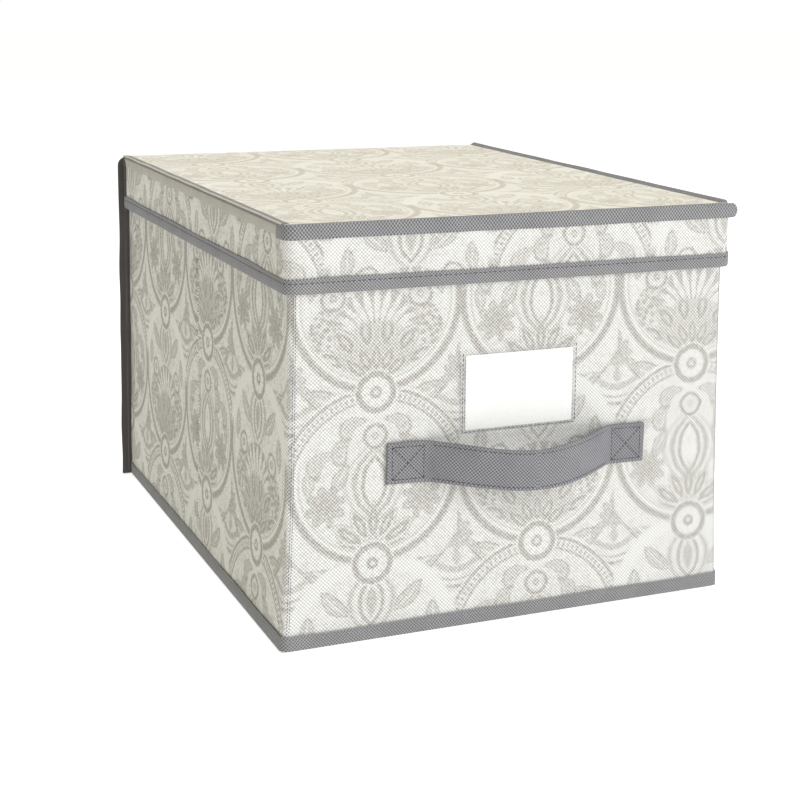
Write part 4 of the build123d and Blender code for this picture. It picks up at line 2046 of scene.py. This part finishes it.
    def front_edge(self) -> None:
        """The binding along the front edge: round the left corner, across, and past the right corner."""
        w, f = self.half_width, self.front
        line = Route.rounded([(-w, f + 15.0), (-w, f), (w + 3.2, f)], self.corner, 5.0)
        tip = line.run[-1] - np.array([2.6, 1.6, 0.8, 0.3])
        line = line.at(np.sort(np.concatenate([line.run, tip, line.run[-1] - np.array([16.0, 12.0, 9.0])])))
        base = np.array([
            [0.8, 0.0], [0.98, 2.2], [1.05, 4.6], [0.98, 7.2], [0.8, 8.6], [0.35, 9.15], [-0.3, 9.3],
            [-4.2, 9.12], [-4.5, 8.95], [-4.2, 8.75], [-0.2, 8.7], [0.15, 8.2], [0.12, 0.1]
        ])
        section = np.repeat(base[None], len(line.run), axis=0)
        left = smooth_step(line.run, line.run[0], 1.0)
        right = line.run[-1] - line.run
        leg = smooth_step(right, 4.0, 12.0) * smooth_step(line.run, -8.0, 0.0)
        inner = base[:, 0] < -0.25
        section[:, inner, 0] = base[None, inner, 0] * (0.12 + 0.88 * leg[:, None])
        wave = ripple(line.run, 0 * line.run, 81, 0.25, 70)
        section[..., 1] = (
            section[..., 1] * (0.8 + 0.2 * left[:, None])
            + (wave * (right > 6))[:, None] * (base[None, :, 1] < 4)
        )
        round_tip = np.sqrt(np.clip(1 - (1 - np.clip(right / 3.2, 0, 1)) ** 2, 0.02, 1))
        section[..., 1] = 4.7 + (section[..., 1] - 4.7) * round_tip[:, None]
        obj = sweep("front_edge_tape", *level_frames(line, self.edge_low), section)
        finish_piece(obj, "lid", self.finishes.binding, Slot.BINDING, ["front_edge_binding"])

    def side_edge(self, side: Side) -> None:
        """The binding along a side edge with the cloth piping that shows beside it.

        Args:
            side: which edge.
        """
        word = side.name.lower()
        y = np.linspace(self.front + 7.0, self.skirt_back, 90)
        x = np.full_like(y, side.value * self.half_width)
        centre = np.stack([x, y, np.full_like(y, 249.8)], axis=1)
        outward, up = everywhere((side.value, 0, 0), len(y)), everywhere(UP, len(y))
        swell = 0.25 if side is Side.LEFT else 1.5
        base = np.array([
            [0.75, 0.0], [0.85, 3.0], [0.9, 6.0], [0.8, 7.6], [0.2, 8.3 + swell * 0.5],
            [-1.6, 8.35 + swell], [-3.4, 8.25 + swell * 0.7], [-5.0, 8.1], [-5.2, 7.95], [-5.0, 7.8],
            [-0.2, 7.75], [0.12, 7.2], [0.1, 0.05]
        ])
        section = np.repeat(base[None], len(y), axis=0)
        wave = ripple(y, 0 * y, 83 + side.value, 0.3, 55)
        section[..., 1] += (
            wave[:, None] * (base[None, :, 1] < 1) + 0.5 * wave[:, None] * (base[None, :, 1] > 8)
        )
        if side is Side.LEFT:
            hanging = base[:, 1] < 7.7
            section[:, hanging, 1] = np.maximum(section[:, hanging, 1], 6.4)
            # The hanging leg is a separate tape in a paler grey near the print's colour: partly the binding,
            # partly painted shade under the left edge.
            fall = np.repeat(tape_section(6.6, 0.5, 0.1)[None], len(y), axis=0)
            fall[..., 1] += wave[:, None] * (fall[..., 1] < 0)
            low_centre = centre + np.array([-0.42, 0.0, 3.6])
            obj = sweep("left_edge_fall", low_centre, outward, up, fall)
            finish_piece(obj, "lid", self.finishes.thin_binding, Slot.BINDING)
        obj = sweep(f"{word}_edge_tape", centre, outward, up, section)
        finish_piece(obj, "lid", self.finishes.binding, Slot.BINDING, [f"{word}_edge_binding"])
        if side is Side.LEFT:
            spine = np.stack([x - 0.35, y, 258.15 + 0.6 * wave], axis=1)
            obj = sweep("left_edge_piping", spine, outward, up, ring_section(0.62, 10))
            finish_piece(obj, "lid", self.finishes.piping, Slot.PRINTED)

    def hem(self) -> None:
        """The binding folded round the skirt's hem, with its stitches."""
        line = self.route()
        height = float(Extent.of("front_hem_binding").low[2])
        base = np.array([
            [0.72, 9.4], [0.86, 5.0], [0.8, 1.4], [0.45, 0.35], [-0.4, 0.0], [-1.2, 0.05], [-1.9, 0.4],
            [-2.12, 1.2], [-2.12, 8.9], [-1.5, 8.9], [-1.45, 1.1], [0.05, 1.1], [0.06, 9.3]
        ])
        section = np.repeat(base[None], len(line.run), axis=0)
        wave = ripple(line.run, 0 * line.run, 91, 0.3, 60)
        section[..., 1] += wave[:, None] * (base[None, :, 1] > 8)
        obj = sweep("hem_tape", *level_frames(line, height), section)
        finish_piece(
            obj, "lid", self.finishes.binding, Slot.BINDING,
            [f"{side}_hem_binding" for side in ("front", "left", "right")]
        )
        spots = line.at(np.arange(line.run[0] + 2, line.run[-1] - 2, HEM_STITCH.pitch))
        obj = level_stitches("hem_stitches", spots, height + 6.7, 0.86, HEM_STITCH)
        finish_piece(obj, "lid", self.finishes.thread, Slot.THREAD)

    def skirt_end(self, side: Side) -> None:
        """The binding on the skirt's back end and the folded tail of tape over it.

        Args:
            side: which end.
        """
        word = side.name.lower()
        end = Extent.of(f"{word}_skirt_end_binding")
        z = np.linspace(end.low[2], end.high[2] + 1.0, 14)
        base = np.array([
            [0.72, -5.8], [0.86, -3.0], [0.8, -0.9], [0.4, -0.2], [-0.7, 0.0], [-1.8, -0.2], [-2.1, -0.9],
            [-2.1, -5.8], [-1.5, -5.8], [-1.45, -0.9], [0.05, -0.9], [0.05, -5.8]
        ])
        centre = np.stack(
            [np.full_like(z, side.value * self.half_width), np.full_like(z, end.high[1]), z], axis=1
        )
        outward = everywhere((side.value, 0, 0), len(z))
        obj = sweep(f"{word}_skirt_end_tape", centre, outward, everywhere((0, 1, 0), len(z)), base)
        finish_piece(obj, "lid", self.finishes.dark_binding, Slot.BINDING, [f"{word}_skirt_end_binding"])
        fold = np.linspace(0, 1, 10)
        x = side.value * (self.half_width + 1.25) + side.value * 0.5 * np.sin(math.pi * fold)
        bend = np.stack([x, 189.6 - 5.5 * fold, 254.6 - 3.6 * fold], axis=1)
        rows = len(fold)
        obj = sweep(
            f"{word}_tape_tail", bend, outward[:rows], everywhere((0, 0.35, 0.94), rows),
            tape_section(5.2, 0.7)
        )
        finish_piece(obj, "lid", self.finishes.dark_binding, Slot.BINDING)

    def build(self) -> None:
        """Make the whole lid."""
        self.top_cloth()
        self.hinge_cloth()
        self.skirt()
        self.under_lining()
        self.front_edge()
        self.hem()
        for side in Side:
            self.side_edge(side)
            self.skirt_end(side)


@dataclass
class BaseBoard:
    """The loose board on the floor of the bin, wrapped in lining cloth."""

    finishes: Finishes
    corner: float = 3.0

    def build(self) -> None:
        """Make the wrapped board, with rounded edges and turned-in cloth."""
        wrap = Extent.of("base_board_wrap")
        w, d = wrap.high[0], wrap.high[1]
        x, y = np.meshgrid(np.linspace(-w, w, 60), np.linspace(-d, d, 76), indexing="ij")
        dx, dy = np.abs(x) - (w - self.corner), np.abs(y) - (d - self.corner)
        pull = corner_pull(dx, dy, self.corner)
        x = np.where(dx > 0, np.sign(x) * (w - self.corner + dx * pull), x)
        y = np.where(dy > 0, np.sign(y) * (d - self.corner + dy * pull), y)
        edge = np.minimum(w - np.abs(x), d - np.abs(y))
        z = wrap.high[2] + ripple(x, y, 95, 0.12, 80) * smooth_step(edge, 0, 20)
        surface = np.stack([x, y, z], axis=-1)
        obj = cloth_shell(
            "base_board_cloth", surface, np.stack([x, y], axis=-1), float(wrap.high[2] - wrap.low[2])
        )
        finish_piece(obj, "base_board", self.finishes.lining, Slot.LINING, ["base_board_wrap"])
        bevel = obj.modifiers.new("soft_edge", "BEVEL")
        bevel.width, bevel.segments, bevel.limit_method, bevel.angle_limit = (
            1.1 * MM, 3, "ANGLE", math.radians(60)
        )


# studio


@dataclass(frozen=True)
class Studio:
    """Pale floor, soft light and the camera."""

    azimuth: float = 22.88
    elevation: float = 9.06
    roll: float = 0.63
    place: Point = (-0.4701, -1.1201, 0.4057)
    lens: float = 76.72
    shift: float = -0.2

    def floor(self) -> None:
        """A wide pale floor that is not part of the bin."""
        reach, level = 9.0, -0.0004
        corners = [
            (-reach, -reach, level), (reach, -reach, level), (reach, reach, level), (-reach, reach, level)
        ]
        mesh = bpy.data.meshes.new("studio_floor")
        mesh.from_pydata(corners, [], [(0, 1, 2, 3)])
        obj = bpy.data.objects.new("studio_floor", mesh)
        bpy.context.collection.objects.link(obj)
        sheet = MaterialSheet("pale_floor", linear(231, 231, 231), 0.9)
        sheet.set("Emission Color", WHITE)
        sheet.set("Emission Strength", 0.64)
        obj.data.materials.append(sheet.material)

    def lamp(self, name: str, place: Point, aim: Point, size: float, power: float, colour: Colour) -> None:
        """A square softbox.

        Args:
            name: name of the lamp.
            place: where it stands, m.
            aim: what it points at, m.
            size: length of its side, m.
            power: its power, W.
            colour: its colour.
        """
        data = bpy.data.lights.new(name, "AREA")
        data.size, data.energy, data.color = size, power, colour
        obj = bpy.data.objects.new(name, data)
        obj.location = place
        obj.rotation_euler = (Vector(aim) - Vector(place)).to_track_quat("-Z", "Y").to_euler()
        bpy.context.collection.objects.link(obj)

    def sky(self) -> None:
        """Even white surroundings: white to look at, softer as a light."""
        world = bpy.data.worlds.new("studio_sky")
        world.use_nodes = True
        tree = world.node_tree
        paths = tree.nodes.new("ShaderNodeLightPath")
        seen, light, mixed = (
            tree.nodes.new("ShaderNodeBackground"), tree.nodes["Background"],
            tree.nodes.new("ShaderNodeMixShader")
        )
        seen.inputs["Color"].default_value, seen.inputs["Strength"].default_value = WHITE, 1.0
        spread = tree.nodes.new("ShaderNodeSeparateXYZ")
        tree.links.new(tree.nodes.new("ShaderNodeTexCoord").outputs["Generated"], spread.inputs[0])
        share = tree.nodes.new("ShaderNodeMapRange")
        share.inputs["From Min"].default_value, share.inputs["From Max"].default_value = -0.9, 0.5
        tree.links.new(spread.outputs[0], share.inputs[0])
        shade = tree.nodes.new("ShaderNodeMix")
        shade.data_type = "RGBA"
        shade.inputs[6].default_value, shade.inputs[7].default_value = (0.3, 0.28, 0.15, 1), WHITE
        tree.links.new(share.outputs[0], shade.inputs[0])
        tree.links.new(shade.outputs[2], light.inputs["Color"])
        light.inputs["Strength"].default_value = 0.62
        tree.links.new(paths.outputs["Is Camera Ray"], mixed.inputs[0])
        tree.links.new(light.outputs[0], mixed.inputs[1])
        tree.links.new(seen.outputs[0], mixed.inputs[2])
        tree.links.new(mixed.outputs[0], tree.nodes["World Output"].inputs["Surface"])
        bpy.context.scene.world = world

    def camera(self) -> None:
        """A long lens turned by azimuth, elevation and roll."""
        az, el = math.radians(self.azimuth), math.radians(self.elevation)
        ahead = Vector((math.sin(az) * math.cos(el), math.cos(az) * math.cos(el), -math.sin(el)))
        data = bpy.data.cameras.new("studio_camera")
        data.lens, data.sensor_width, data.shift_y = self.lens, 36.0, self.shift
        data.clip_start, data.clip_end = 0.05, 60
        obj = bpy.data.objects.new("studio_camera", data)
        obj.location = self.place
        obj.rotation_mode = "QUATERNION"
        obj.rotation_quaternion = (
            ahead.to_track_quat("-Z", "Y") @ Quaternion((0, 0, 1), math.radians(self.roll))
        )
        bpy.context.collection.objects.link(obj)
        bpy.context.scene.camera = obj

    def build(self) -> None:
        """Set up the studio."""
        self.floor()
        self.sky()
        self.lamp("key_light", (1.1, -2.3, 1.3), (0, -0.1, 0.12), 1.6, 29.5, (0.99, 0.995, 1.0))
        self.lamp("top_light", (-0.1, 0.2, 2.2), (0, 0, 0.2), 1.6, 26, (1.0, 0.985, 0.965))
        self.camera()
        bpy.context.scene.view_settings.view_transform = "Standard"


def main() -> None:
    """Build the bin, then the studio."""
    logging.basicConfig(level=logging.INFO, format="%(message)s")
    finishes = Finishes.make(Workshop())
    body = Body(finishes)
    body.build()
    LabelPocket(finishes, body).build()
    Handle(finishes, body).build()
    Lid(finishes).build()
    BaseBoard(finishes).build()
    Studio().build()


if __name__ == "__main__":
    main()
